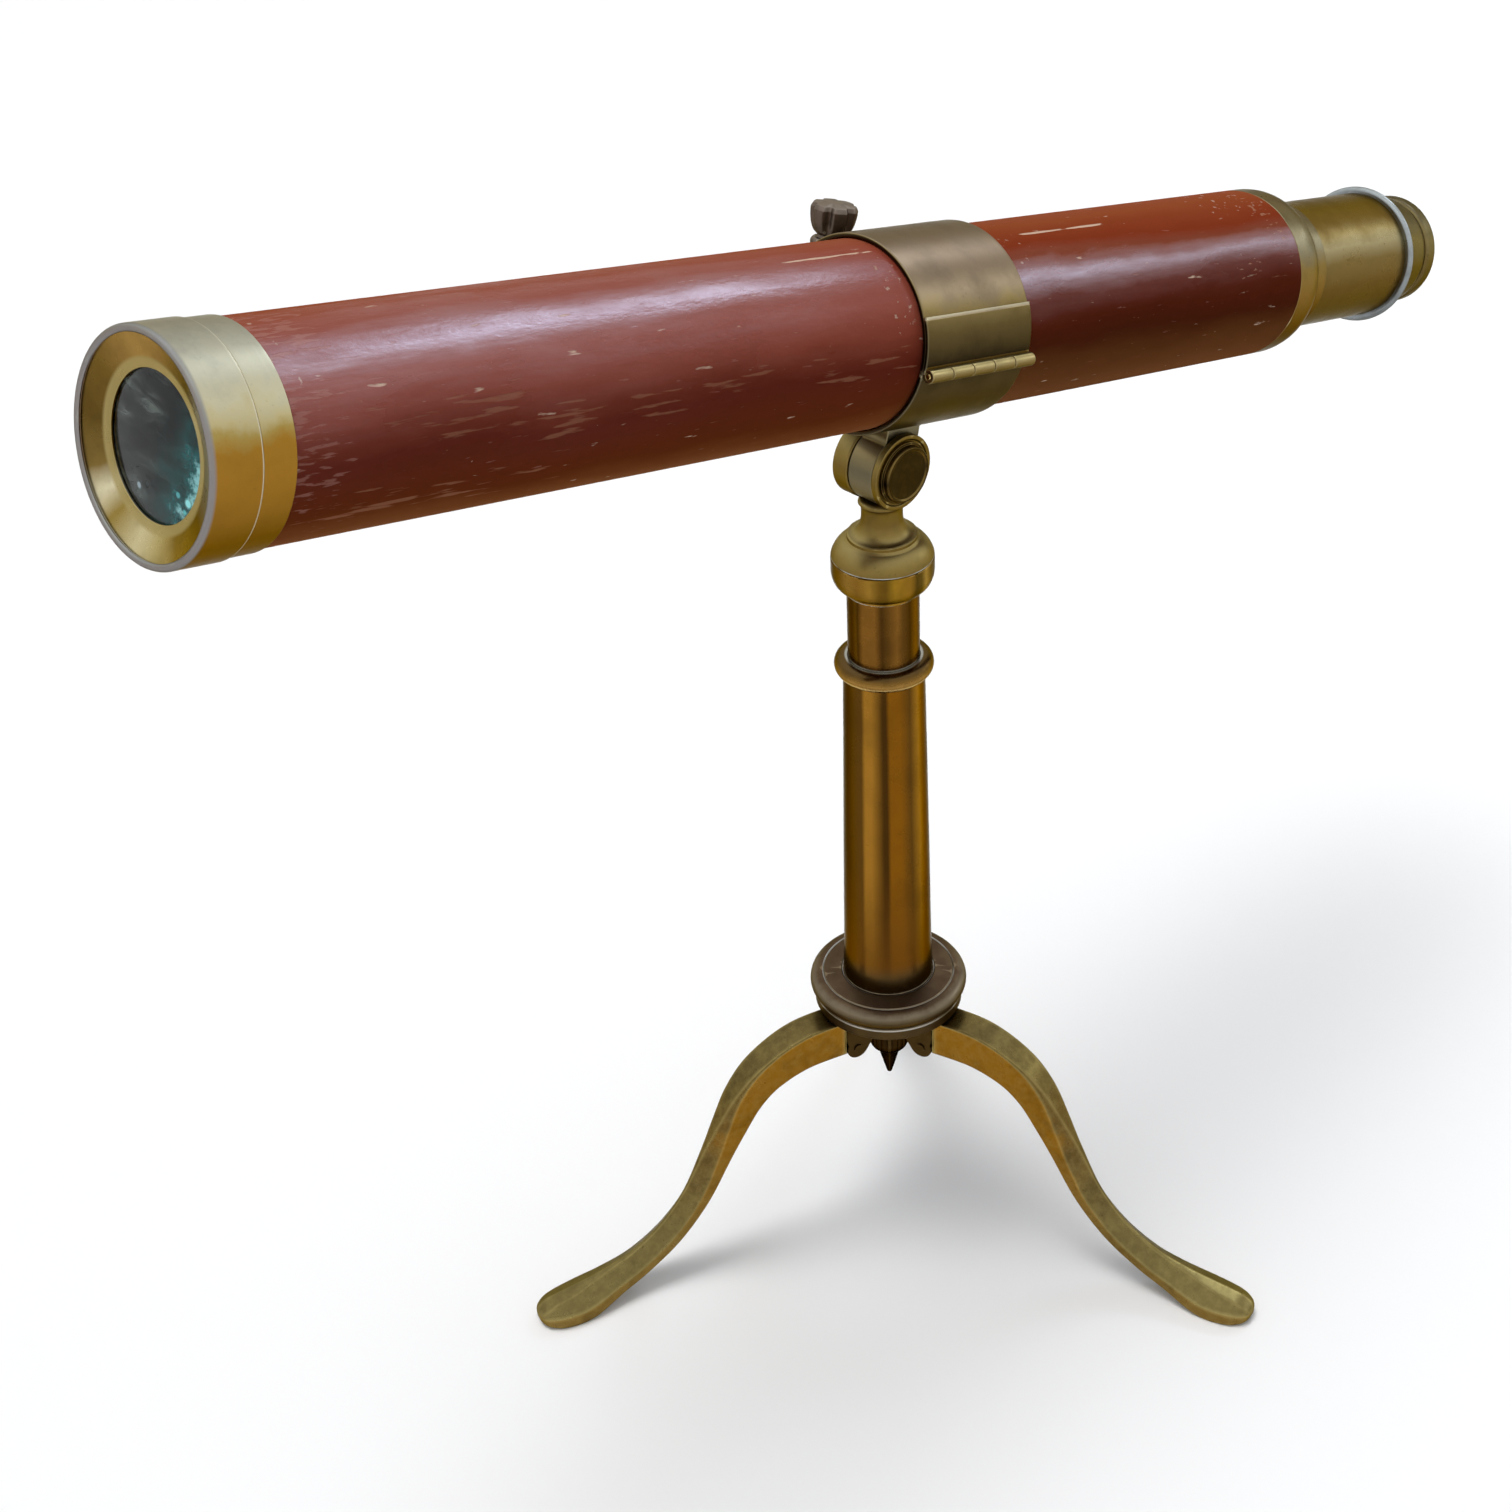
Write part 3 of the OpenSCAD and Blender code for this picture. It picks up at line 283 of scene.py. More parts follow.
    # lines: pale polish left in grooves, and on the ring a painted glint along its edge; broken where no
    # tint says that the line is whole
    for axis, low, high, *tint in lines:
        if axis == "round":
            flat = add(tree, "VectorMath", {0: place, 1: (1, 1, 0)}, operation="MULTIPLY")
            level = add(tree, "VectorMath", {0: flat}, operation="LENGTH")
        else:
            level = parts.outputs[axis]
        middle, half = (low + high) / 2 * MM, (high - low) / 2 * MM
        off = add(tree, "Math", {0: level, 1: middle}, operation="SUBTRACT")
        away = add(tree, "Math", {0: off}, operation="ABSOLUTE")
        near = add(tree, "MapRange", {"Value": away, "From Min": half, "From Max": half * 0.4})
        broken = add(tree, "MapRange",
                     {"Value": patches, "From Min": 0.36, "From Max": 0.56, "To Min": 0.8 if tint else 0.0,
                      "To Max": 0.85})
        left = add(tree, "Math", {0: near, 1: broken}, operation="MULTIPLY")
        finish = add(tree, "Mix",
                     {"Factor": left, "A": finish, "B": colour(tint[0] if tint else "#b9bab4")},
                     data_type="RGBA")
    dull = add(tree, "MapRange",
               {"Value": patches, "From Min": 0.35, "From Max": 0.7, "To Min": rough,
                "To Max": rough + 0.12})
    duller = add(tree, "Math", {0: spots, 1: 0.4, 2: dull}, operation="MULTIPLY_ADD")
    # tool lines of 0.3 mm round a turned piece, drawn at 0.9 mm so that they show; handling marks elsewhere
    squeeze = [per_metre(40) if grain else per_metre(2.2)] * 3
    if grain:
        squeeze["XYZ".index(grain)] = per_metre(0.9)
    ruled = add(tree, "Mapping", {"Vector": place, "Scale": squeeze})
    marks = add(tree, "TexNoise", {"Vector": ruled, "Scale": 1.0, "Detail": 3.0})
    sunk = add(tree, "Math", {0: marks, 1: spots}, operation="SUBTRACT")
    bump = add(tree, "Bump", {"Height": sunk, "Strength": 0.10, "Distance": 0.15 * MM})
    feed(shader, {"Base Color": finish, "Metallic": 1.0, "Specular Tint": colour(edge), "Roughness": duller,
                  "Normal": bump})
    return material


# cast brass, filed and handled: an olive film on the faces that look up and golden sides, tints partly
# painted light from above and from the side; corners rubbed bright, which also paints a highlight along the
# arrises
leg_brass = old_brass(
    "cast_and_filed_brass",
    facing=[(-1.0, "#5a3f14"), (-0.2, "#8a6020"), (0.08, "#9c6d1c"), (0.27, "#68522a"), (0.75, "#635530"),
            (1.0, "#675935")],
    worn="#c0ad6c", mottled=0.42, patch_mm=12.0, rough=0.26, pits=0.45, rubbed=0.85,
    low_tint=("#746941", 58, 20, 0.6), rubs=0.16, rub_from=0.508)
inside = LEG_ROOT[0] + LEG_OVERLAP
for number, body in enumerate(("leg_one", "leg_two", "leg_three")):
    tongue = slab(arc(LEG_PIVOT[0], LEG_PIVOT[1], LEG_EYE_R, 90, 360)
                  + [(inside, LEG_PIVOT[1]), (inside, LEG_PIVOT[1] + LEG_EYE_R)], -LEG_TONGUE / 2,
                  LEG_TONGUE / 2, "Y")
    turn = Matrix.Rotation(math.radians(LEG_TURN + 120 * number), 4, "Z")
    bar = leg_bar()
    for part in (bar, tongue):
        bmesh.ops.transform(part, matrix=turn, verts=part.verts)
    leg = piece("leg_%d_casting" % (number + 1), [bar, tongue], Matrix(), body, "leg_%d" % (number + 1))
    leg.data.materials.append(leg_brass)


# Hub and hinge pins: a brass casting with three pairs of ears, browned nearly black, with a brass
# wire pin through each pair. The hub is screwed up under the base flange.
def dress(node, material, edge=0.0):
    """Gives a piece that stays as it was drawn its real finish, and takes off its arrises."""
    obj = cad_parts[node]
    obj.data.materials.clear()
    obj.data.materials.append(material)
    if edge:
        eased_edges = obj.modifiers.new("eased_edges", "BEVEL")
        eased_edges.width = edge * MM
        eased_edges.segments = 2
        eased_edges.limit_method = "ANGLE"
        eased_edges.angle_limit = math.radians(40)
        even = obj.modifiers.new("even_normals", "WEIGHTED_NORMAL")
        even.keep_sharp = True


# cast brass gone dark brown, painted lighter on the faces that look up: a soft shine with lighter arrises
brown_brass = old_brass(
    "cast_brass_with_brown_patina",
    facing=[(-1.0, "#1f160b"), (-0.3, "#33240f"), (0.2, "#3a2912"), (0.6, "#463621"), (1.0, "#4c3d2d")],
    dirt="#17110a", worn="#6f5a36", mottled=0.4, patch_mm=7.0, rough=0.30, edge="#6f6350", rubbed=0.3)
dress("leg_hub", brown_brass, 0.35)
dress("leg_pins", brown_brass, 0.25)


# Drop finial: a nut under the hub that draws up the tie rod, turned from brass to a hanging point
# and ribbed on its thick end for the fingers.
HUB_LOW = 83.5
FINIAL_LEN = 27.0
FINIAL_R = 7.6
RIBS = 20
RIB_DEPTH = 0.5
RIB_STEPS = 180
FIT = 0.05
# a straight run of a turned outline gets points this far from its ends, and at most so far apart
RUN_END = 1.0
RUN_STEP = 12.0


def eased(outline, radius, steps=4, least=22.0):
    """The closed outline of a turned piece with its sharp corners rounded, as a lathe tool leaves them, and
    with points along its straight runs so that the rounding stays at the corners."""
    out = []
    for i, corner in enumerate(outline):
        here = Vector(corner)
        back = Vector(outline[i - 1]) - here
        on = Vector(outline[(i + 1) % len(outline)]) - here
        bent = 180.0 - math.degrees(back.angle(on)) if back.length > 1e-6 and on.length > 1e-6 else 0.0
        if bent < least or here.x < 1e-6:
            out.append(tuple(here))
            continue
        cut = min(radius * math.tan(math.radians(bent) / 2), 0.42 * back.length, 0.42 * on.length)
        a, b = here + back.normalized() * cut, here + on.normalized() * cut
        for k in range(steps + 1):
            t = k / steps
            out.append(tuple(a * (1 - t) ** 2 + here * (2 * t * (1 - t)) + b * t ** 2))
    rows = []
    for here, on in zip(out, out[1:] + out[:1]):
        rows.append(here)
        length = math.dist(here, on)
        if length > 3 * RUN_END:
            cuts = max(1, math.ceil((length - 2 * RUN_END) / RUN_STEP))
            shares = [(RUN_END + (length - 2 * RUN_END) * k / cuts) / length for k in range(cuts + 1)]
            rows += [(here[0] + (on[0] - here[0]) * t, here[1] + (on[1] - here[1]) * t) for t in shares]
    return rows


def bow(cr, cz, ar, az, start, end, steps=16):
    """Points on an ellipse about (cr, cz), for the hollows and rounds of a turned outline."""
    turns = [math.radians(start + (end - start) * i / steps) for i in range(steps + 1)]
    return [(cr + ar * math.cos(t), cz + az * math.sin(t)) for t in turns]


def turned(outline, axis="Z", at=(0, 0, 0), ease=0.3, segments=144):
    """A bmesh turned from a closed outline of (radius, place along the axis), with its corners eased."""
    outline = eased(outline, ease)
    rings = []
    for k in range(segments):
        c, s = math.cos(2 * math.pi * k / segments), math.sin(2 * math.pi * k / segments)
        spun = [(r * c, r * s, h) for r, h in outline]
        ring = [{"X": (w, u, v), "Y": (v, w, u), "Z": (u, v, w)}[axis] for u, v, w in spun]
        rings.append([(x + at[0], y + at[1], z + at[2]) for x, y, z in ring])
    return skin(rings, wrap=True)


tip = HUB_LOW - FINIAL_LEN
finial_outline = eased(
    [(0, tip), (0.12 * FINIAL_R, tip + 0.2), (0.3 * FINIAL_R, tip + 0.19 * FINIAL_LEN),
     (0.47 * FINIAL_R, tip + 0.37 * FINIAL_LEN)]
    + bow(0.62 * FINIAL_R, tip + 0.66 * FINIAL_LEN, 0.38 * FINIAL_R, 0.16 * FINIAL_LEN, -90, 0)
    + [(FINIAL_R, HUB_LOW - FIT), (0, HUB_LOW - FIT)], 0.3)
rings = []
for k in range(RIB_STEPS):
    turn = 2 * math.pi * k / RIB_STEPS
    groove = RIB_DEPTH * max(0.0, math.cos(RIBS * turn)) ** 3
    ring_points = []
    for r, h in finial_outline:
        # the ribs run out in 4 mm towards the point, and stay off the flat top
        r -= groove * min(1.0, max(0.0, (h - tip - 0.5 * FINIAL_LEN) / 4)) * (r > 6.0)
        ring_points.append((r * math.cos(turn), r * math.sin(turn), h))
    rings.append(ring_points)
finial = piece("drop_finial_turned", [skin(rings, wrap=True)], Matrix(), "stand", "drop_finial")
finial.data.materials.append(brown_brass)


# Base flange: cast brass turned with a round edge over a plain plate, dark brown, with polish left
# pale in its grooves and where the column stands on it.
BASE_TOP = 108.5
BASE_LOW = 95.5
BASE_R = 29.2
RIM = 4.2
RIM_HALF = 3.7
RIM_Z = 103.9
PLATE_R = 27.5
PLATE_TOP = 100.5
ROD_HOLE_R = 4.05
SEAT_R = 17.2
RIM_GROOVE_R = 24.35
# turned brass under the same brown film, smooth, with one clear highlight round its edge painted into its
# tints
flange_brass = old_brass(
    "turned_brass_with_brown_patina",
    facing=[(-1.0, "#33260f"), (-0.3, "#5a4422"), (0.1, "#4f4029"), (0.4, "#625641"), (0.65, "#746956"),
            (0.85, "#6a5e4e"), (0.96, "#5a4b39"), (1.0, "#554536")],
    lines=[("round", SEAT_R - 0.3, SEAT_R + 0.3), ("round", RIM_GROOVE_R - 0.15, RIM_GROOVE_R + 0.4),
           ("Z", PLATE_TOP - 1.2, PLATE_TOP - 0.2, "#c4c0b6")],
    dirt="#1c140c", worn="#8d7f66", mottled=0.3, patch_mm=11.0, rough=0.34, pits=0.2)
flange_outline = (
    [(ROD_HOLE_R, BASE_LOW), (PLATE_R - 0.3, BASE_LOW), (PLATE_R, BASE_LOW + 0.4), (PLATE_R, PLATE_TOP),
     (PLATE_R - 0.5, PLATE_TOP + 0.3), (PLATE_R - 0.5, PLATE_TOP + 0.7)]
    + bow(BASE_R - RIM, RIM_Z, RIM, RIM_HALF, -46, 96, 24)
    + [(RIM_GROOVE_R, RIM_Z + RIM_HALF - 0.35), (RIM_GROOVE_R - 0.45, RIM_Z + RIM_HALF + 0.15),
       (SEAT_R + 0.3, BASE_TOP - 0.1), (SEAT_R, BASE_TOP - 0.4), (SEAT_R - 0.7, BASE_TOP - 0.4),
       (SEAT_R - 0.9, BASE_TOP - FIT), (ROD_HOLE_R, BASE_TOP - FIT)])
flange = piece("base_flange_turned", [turned(flange_outline, ease=0.25, segments=192)], Matrix(), "stand",
               "base_flange")
flange.data.materials.append(flange_brass)


# Column: a tapered brass tube, turned and polished, plugged at its foot and drawn down on the
# flange by a steel tie rod. A half-round ring and a plain neck tube stand on it.
RING_LOW = 240.9
SHAFT_LOW_R = 16.7
SHAFT_HIGH_R = 14.25
SHAFT_BORE = 12.5
RING_R = 17.3
RING_T = 6.6
RING_Z = 244.2
NECK_R = 12.45
NECK_BORE = 9.25
NECK_LOW = 200.9
NECK_TOP = 277.0
CAPITAL_LOW = 274.0
# tones of the upright bands of reflection painted round the column and its neck, from dark to golden
DEEP, BROWN, DULL, TAN, GOLD = "#442c0d", "#5a3d15", "#79521f", "#7e500f", "#9b6d25"
# polished brass with upright streaks of reflection painted round it: golden, with darker bands, darker
# towards its foot, and a soft gloss
column_brass = old_brass(
    "turned_brass_with_painted_streaks_of_reflection",
    around=[(-180, BROWN), (-150, GOLD), (-115, BROWN), (-80, TAN), (-50, DEEP), (-20, DEEP), (-5, BROWN),
            (10, BROWN), (15, GOLD), (25, GOLD), (40, DEEP), (45, DEEP), (50, TAN), (65, TAN), (80, BROWN),
            (95, GOLD), (105, TAN), (125, BROWN), (150, TAN), (180, BROWN)],
    lines=[("Z", BASE_TOP - 10.5, BASE_TOP + 12.5, "#54462b"), ("Z", BASE_TOP - 0.1, BASE_TOP + 0.7)],
    dirt="#33230d", worn="#b98f45", mottled=0.25, patch_mm=26.0, rough=0.20, pits=0.2, grain="Z",
    low_tint=("#664012", 165, 122, 0.75))
# the neck is darker, with upright bands of light and dark brown painted round it as reflections
neck_brass = old_brass(
    "turned_brass_with_painted_bands_of_reflection",
    around=[(-180, BROWN), (-140, DULL), (-95, DEEP), (-55, BROWN), (-15, DEEP), (-5, BROWN), (0, DEEP),
            (10, DULL), (30, DULL), (40, DEEP), (50, BROWN), (65, DULL), (75, BROWN), (90, DEEP),
            (105, DULL), (130, DEEP), (180, BROWN)],
    lines=[("Z", RING_LOW + 6.3, RING_LOW + 7.4, "#a9a8a0"), ("Z", CAPITAL_LOW - 0.4, CAPITAL_LOW + 0.2)],
    dirt="#2b1d0c", worn="#b3914e", mottled=0.25, patch_mm=12.0, rough=0.22, pits=0.2, grain="Z")
# the ring, its tints partly painted light and a glint painted along its edge, with polish left pale where
# the neck stands in it
ring_brass = old_brass(
    "turned_brass_with_a_painted_glint_along_its_edge",
    facing=[(-1.0, "#4a3413"), (-0.5, "#7d5c26"), (0.0, "#96723a"), (0.3, "#7d5d2a"), (0.7, "#5c4624"),
            (1.0, "#5f4c30")],
    lines=[("round", NECK_R - 0.25, NECK_R + 1.35, "#b3b3ac"),
           ("Z", RING_Z - 2.2, RING_Z - 0.8, "#dcbc7c")],
    dirt="#2b1d0c", worn="#b3914e", mottled=0.25, patch_mm=7.0, rough=0.22)
# turned steel of the hidden rod, spindle and nut: grey with a film of brown rust in spots of 3 mm
turned_steel, tree, shader = blank_material("turned_mild_steel")
rust = add(tree, "TexNoise",
           {"Vector": add(tree, "TexCoord").outputs["Object"], "Scale": per_metre(3), "Detail": 5.0})
browned = add(tree, "ValToRGB", {"Fac": rust},
              stops=[(0.35, "#5d5a56"), (0.5, "#7a726a"), (0.7, "#86837e")])
feed(shader, {"Base Color": browned, "Metallic": 1.0, "Roughness": 0.35})
shaft_outline = [
    (SHAFT_BORE, BASE_TOP), (SHAFT_LOW_R, BASE_TOP), (SHAFT_LOW_R - 0.55, BASE_TOP + 16),
    (SHAFT_LOW_R - 1.2, BASE_TOP + 60), (SHAFT_HIGH_R + 0.35, RING_LOW - 20), (SHAFT_HIGH_R, RING_LOW),
    (SHAFT_BORE, RING_LOW)]
shaft = piece("column_shaft_turned", [turned(shaft_outline, ease=0.3, segments=192)], Matrix(), "stand",
              "column_shaft")
ring_outline = (
    [(NECK_R + FIT, RING_LOW), (RING_R - RING_T / 2, RING_LOW)]
    + bow(RING_R - RING_T / 2, RING_Z, RING_T / 2, RING_T / 2, -84, 84, 24)
    + [(RING_R - RING_T / 2, RING_LOW + RING_T), (NECK_R + FIT, RING_LOW + RING_T)])
ring = piece("column_ring_turned", [turned(ring_outline)], Matrix(), "stand", "column_ring")
neck_outline = [
    (NECK_BORE, NECK_LOW), (NECK_R, NECK_LOW), (NECK_R, RING_LOW + RING_T), (NECK_R, CAPITAL_LOW),
    (NECK_R, NECK_TOP), (NECK_BORE, NECK_TOP)]
neck = piece("column_neck_tube", [turned(neck_outline)], Matrix(), "stand", "column_neck")
for part, finish in ((shaft, column_brass), (ring, ring_brass), (neck, neck_brass)):
    part.data.materials.append(finish)
dress("tie_rod", turned_steel)
dress("column_plug", neck_brass)


# Capital: a cushion turned from brass and pressed on the neck, with a bronze bush inside it. The
# steel spindle of the swivel turns in the bush, under a washer and a nut.
CAPITAL_TOP = 287.0
CAPITAL_R = 17.6
FILLET_R = NECK_R + 0.7
BUSH_SEAT_R = 6.0
# the capital, polished, with upright bands of light and dark reflection painted round it
capital_brass = old_brass(
    "turned_brass_polished_by_handling",
    around=[(-180, "#5d4319"), (-90, "#4f3a16"), (-30, "#5a4218"), (-12, "#6d5022"), (2, "#86652a"),
            (14, "#7d5a20"), (30, "#94702a"), (40, "#6d5018"), (47, "#674c16"), (56, "#94701f"),
            (75, "#8a6520"), (84, "#4f3c14"), (92, "#5f4a1e"), (100, "#a2813f"), (112, "#6d5530"),
            (140, "#4f3a16"), (180, "#5d4319")],
    lines=[("Z", CAPITAL_LOW - 0.2, CAPITAL_LOW + 0.4)], dirt="#2b1d0c", worn="#a98a50", mottled=0.25,
    patch_mm=9.0, rough=0.24, pits=0.25, grain="Z")
capital_outline = (
    [(NECK_R + FIT, CAPITAL_LOW), (FILLET_R, CAPITAL_LOW)]
    + bow(FILLET_R, CAPITAL_LOW + 8.0, CAPITAL_R - FILLET_R, 6.5, -90, 0)
    + [(CAPITAL_R, CAPITAL_TOP - 0.3), (CAPITAL_R - 0.3, CAPITAL_TOP), (BUSH_SEAT_R, CAPITAL_TOP),
       (BUSH_SEAT_R, NECK_TOP + FIT), (NECK_R + FIT, NECK_TOP + FIT)])
capital = piece("capital_turned", [turned(capital_outline, ease=0.25)], Matrix(), "stand", "capital")
capital.data.materials.append(capital_brass)
for name in ("swivel_spindle", "spindle_nut"):
    dress(name, turned_steel)
for name in ("spindle_bush", "spindle_washer"):
    dress(name, neck_brass)


# Swivel head: one brass casting, turned to a dome and a waist and filed into a fork with a thick
# far cheek and a thin near one. It turns on its spindle in the capital.
PIVOT_Z = 321.5
CHEEK_R = 13.0
FAR_FACE = -10.0
NEAR_FACE = 10.0
FAR_CHEEK = 6.6
NEAR_CHEEK = 2.4
HEAD_LOW = 287.3
HEAD_TOP = 309.05
STEP_R = 11.97
STEP_Z = 294.4
WAIST_R = 7.0
DOME_MID, DOME_OUT, DOME_UP = 8.1, 9.7, 9.6
FLARE_R = 8.0
FLARE_ROUND = 1.6
PIVOT_HOLE_R = 4.05
RECESS_R = 11.6
RECESS = 0.7
# filed and turned brass, olive above and brown below, tints partly painted light from above, with a soft
# shine
head_brass = old_brass(
    "filed_brass_olive_with_painted_light",
    facing=[(-1.0, "#4a3814"), (-0.2, "#6e5722"), (0.15, "#6f5a2c"), (0.5, "#86723f"), (0.8, "#978756"),
            (1.0, "#8a7b53")],
    dirt="#2a2010", worn="#b3a06a", mottled=0.25, patch_mm=10.0, rough=0.35, pits=0.3,
    lines=[("Z", HEAD_LOW - 0.1, HEAD_LOW + 0.45)])
dome_and_waist = turned(
    [(0, HEAD_LOW)] + bow(DOME_MID, HEAD_LOW - 2.1, DOME_OUT, DOME_UP, 12.6, 62, 20)
    + [(STEP_R, STEP_Z), (STEP_R, STEP_Z + 1.0)]
    + bow(STEP_R - 0.6, HEAD_TOP - 6, WAIST_R - STEP_R + 0.6, STEP_Z + 7.4 - HEAD_TOP, 90, 0)
    + bow(FLARE_R, HEAD_TOP - FLARE_ROUND - 3.0, WAIST_R - FLARE_R, 3.0, 0, 90)
    + bow(FLARE_R - FLARE_ROUND, HEAD_TOP - FLARE_ROUND, FLARE_ROUND, FLARE_ROUND, 0, 90)
    + [(0, HEAD_TOP)], ease=0.25)
far_cheek = turned(
    [(PIVOT_HOLE_R, FAR_FACE), (CHEEK_R, FAR_FACE), (CHEEK_R, FAR_FACE + FAR_CHEEK),
     (PIVOT_HOLE_R, FAR_FACE + FAR_CHEEK)], "Y", (0, 0, PIVOT_Z), 0.7)
near_cheek = turned(
    [(PIVOT_HOLE_R, NEAR_FACE - NEAR_CHEEK), (CHEEK_R, NEAR_FACE - NEAR_CHEEK), (CHEEK_R, NEAR_FACE),
     (RECESS_R, NEAR_FACE), (RECESS_R - 0.3, NEAR_FACE - RECESS), (PIVOT_HOLE_R, NEAR_FACE - RECESS)],
    "Y", (0, 0, PIVOT_Z), 0.45)
head = piece("swivel_head_casting", [dome_and_waist, far_cheek, near_cheek], Matrix(), "head",
             "swivel_head")
head.data.materials.append(head_brass)


# Pivot bolt and nut: a turned bolt with a stepped, dished head on the near cheek, drawn up by a
# round nut with two key holes on the far one.
BOLT_R = 4.0
BOLT_HEAD_R = 9.8
BOLT_STEP_R = 10.7
BOLT_TIP = -14.0
BOLT_SEAT = 9.35
BOLT_STEP = 10.3
BOLT_DISH = 11.9
BOLT_TOP = 12.4
# dark bronze, tinted by which way it faces: nearly black on the dished face, which looks sideways,
# lighter on the rim
bolt_bronze = old_brass(
    "turned_bronze_gone_black",
    facing=[(-1.0, "#4d3a1a"), (-0.4, "#6b5224"), (0.0, "#2f2412"), (0.4, "#6e5a30"), (1.0, "#7c6a42")],
    dirt="#191208", worn="#8f7a4a", mottled=0.3, patch_mm=5.0, rough=0.28)
bolt_outline = [
    (0, BOLT_TIP), (BOLT_R - 0.6, BOLT_TIP), (BOLT_R, BOLT_TIP + 0.6), (BOLT_R, BOLT_SEAT),
    (BOLT_STEP_R, BOLT_SEAT), (BOLT_STEP_R, BOLT_STEP), (BOLT_HEAD_R, BOLT_STEP), (BOLT_HEAD_R, BOLT_DISH),
    (BOLT_HEAD_R - 0.4, BOLT_TOP), (BOLT_HEAD_R - 1.0, BOLT_TOP), (BOLT_HEAD_R - 1.4, BOLT_DISH),
    (0, BOLT_DISH)]
bolt = piece("pivot_bolt_turned", [turned(bolt_outline, "Y", ease=0.25)],
             Matrix.Translation((0, 0, PIVOT_Z * MM)), "head", "pivot_bolt")
bolt.data.materials.append(bolt_bronze)
dress("pivot_nut", bolt_bronze, 0.25)


# Cradle: the lower half of the clamp, sheet brass rolled to the barrel and soldered to its tongue,
# with a lug for the screw and three of the five hinge knuckles.
TILT = 13.6
PIVOT_TO_AXIS = 46.6
CRADLE_IN = 30.3
CRADLE_OUT = 31.9
CRADLE_HALF = 25.0
HINGE_R = 34.1
HINGE_DROP = math.radians(5.5)
HINGE_Y, HINGE_Z = HINGE_R * math.cos(HINGE_DROP), -HINGE_R * math.sin(HINGE_DROP)
KNUCKLES = 5
KNUCKLE_R = 2.2
KNUCKLE_PITCH = 10.0
KNUCKLE_GAP = 0.15
PIN_HOLE_R = 1.05
LUG_R = 7.5
LUG_ROUND = 5.5
SCREW_Y = 36.5
TONGUE_FAR, TONGUE_NEAR, TONGUE_R = -3.1, 7.3, 12.6
STEM_HALF = 7.8
STEM_TOP = -30.6
PAD_HALF = 8.2
PAD_FAR, PAD_NEAR = -7.0, 7.2
PAD_LOW, PAD_TOP = -32.6, -30.4
# the barrel's own frame: X along it to the objective, Y to the hinge side, Z up from its axis
BARREL_FRAME = (Matrix.Translation((0, 0, PIVOT_Z * MM)) @ Matrix.Rotation(math.radians(-TILT), 4, "Y")
                @ Matrix.Translation((0, 0, PIVOT_TO_AXIS * MM)))


def rolled(inner, outer, start, end, half=CRADLE_HALF, ease=0.6):
    """A strip of sheet rolled round the barrel's axis from one angle to another, its edges eased."""
    section = eased([(inner, -half), (outer, -half), (outer, half), (inner, half)], ease)
    steps = max(6, int(abs(end - start) / 2))
    turns = [math.radians(start + (end - start) * i / steps) for i in range(steps + 1)]
    return skin([[(x, r * math.cos(t), r * math.sin(t)) for r, x in section] for t in turns])


def knuckles(first):
    """Every second knuckle of the hinge, from the first: short tubes round the pin."""
    parts = []
    for i in range(first, KNUCKLES, 2):
        low = -CRADLE_HALF + i * KNUCKLE_PITCH + KNUCKLE_GAP
        high = low + KNUCKLE_PITCH - 2 * KNUCKLE_GAP
        parts.append(turned([(PIN_HOLE_R, low), (KNUCKLE_R, low), (KNUCKLE_R, high), (PIN_HOLE_R, high)],
                            "X", (0, HINGE_Y, HINGE_Z), 0.3, 40))
    return parts


def lug(low, high, hole_r):
    """A clamp lug on the far side: a rounded tab with the hole for the screw."""
    reach = -CRADLE_IN - 0.3
    tab = [(LUG_R, reach), (LUG_R, -SCREW_Y)] + arc(0, -SCREW_Y, LUG_ROUND, 0, 180)
    tab += [(-LUG_R, -SCREW_Y), (-LUG_R, reach)]
    boss = turned([(hole_r, low), (LUG_R, low), (LUG_R, high), (hole_r, high)],
                  "Z", (0, -SCREW_Y, 0), 0.5, 72)
    return [boss, slab(tab, low + 0.04, high - 0.04, "Z", 0.4)]


# sheet brass, rolled and left to tarnish: grey olive on top and brown below, tints partly painted
# reflection of sky and table; edges worn bright
sheet_brass = old_brass(
    "rolled_sheet_brass_olive_with_painted_reflection",
    facing=[(-1.0, "#5a4a30"), (-0.75, "#4f412b"), (-0.35, "#4b3f2d"), (0.0, "#31281a"), (0.3, "#5f5030"),
            (0.47, "#806f47"), (0.62, "#85755d"), (0.85, "#7b6c5b"), (1.0, "#786a5b")],
    worn="#cfc49c", mottled=0.18, patch_mm=16.0, rough=0.30, pits=0.22, grain="X")
# the angle at which the round of the tongue meets the side of its stem
side = math.degrees(math.acos(STEM_HALF / TONGUE_R))
tongue = slab(
    [(STEM_HALF, STEM_TOP)] + arc(0, -PIVOT_TO_AXIS, TONGUE_R, side, -180 - side, 60)
    + [(-STEM_HALF, STEM_TOP)], TONGUE_FAR, TONGUE_NEAR, "Y", 0.4)
pad = slab([(PAD_HALF, PAD_FAR), (PAD_HALF, PAD_NEAR), (-PAD_HALF, PAD_NEAR), (-PAD_HALF, PAD_FAR)],
           PAD_LOW, PAD_TOP, "Z", 0.5)
cradle = piece("cradle_lower_half",
               [rolled(CRADLE_IN, CRADLE_OUT, start=163.5, end=353.7)] + knuckles(0)
               + lug(low=3.45, high=8.85, hole_r=3.2) + [tongue, pad],
               BARREL_FRAME, "cradle_half", "cradle")
cradle.data.materials.append(sheet_brass)


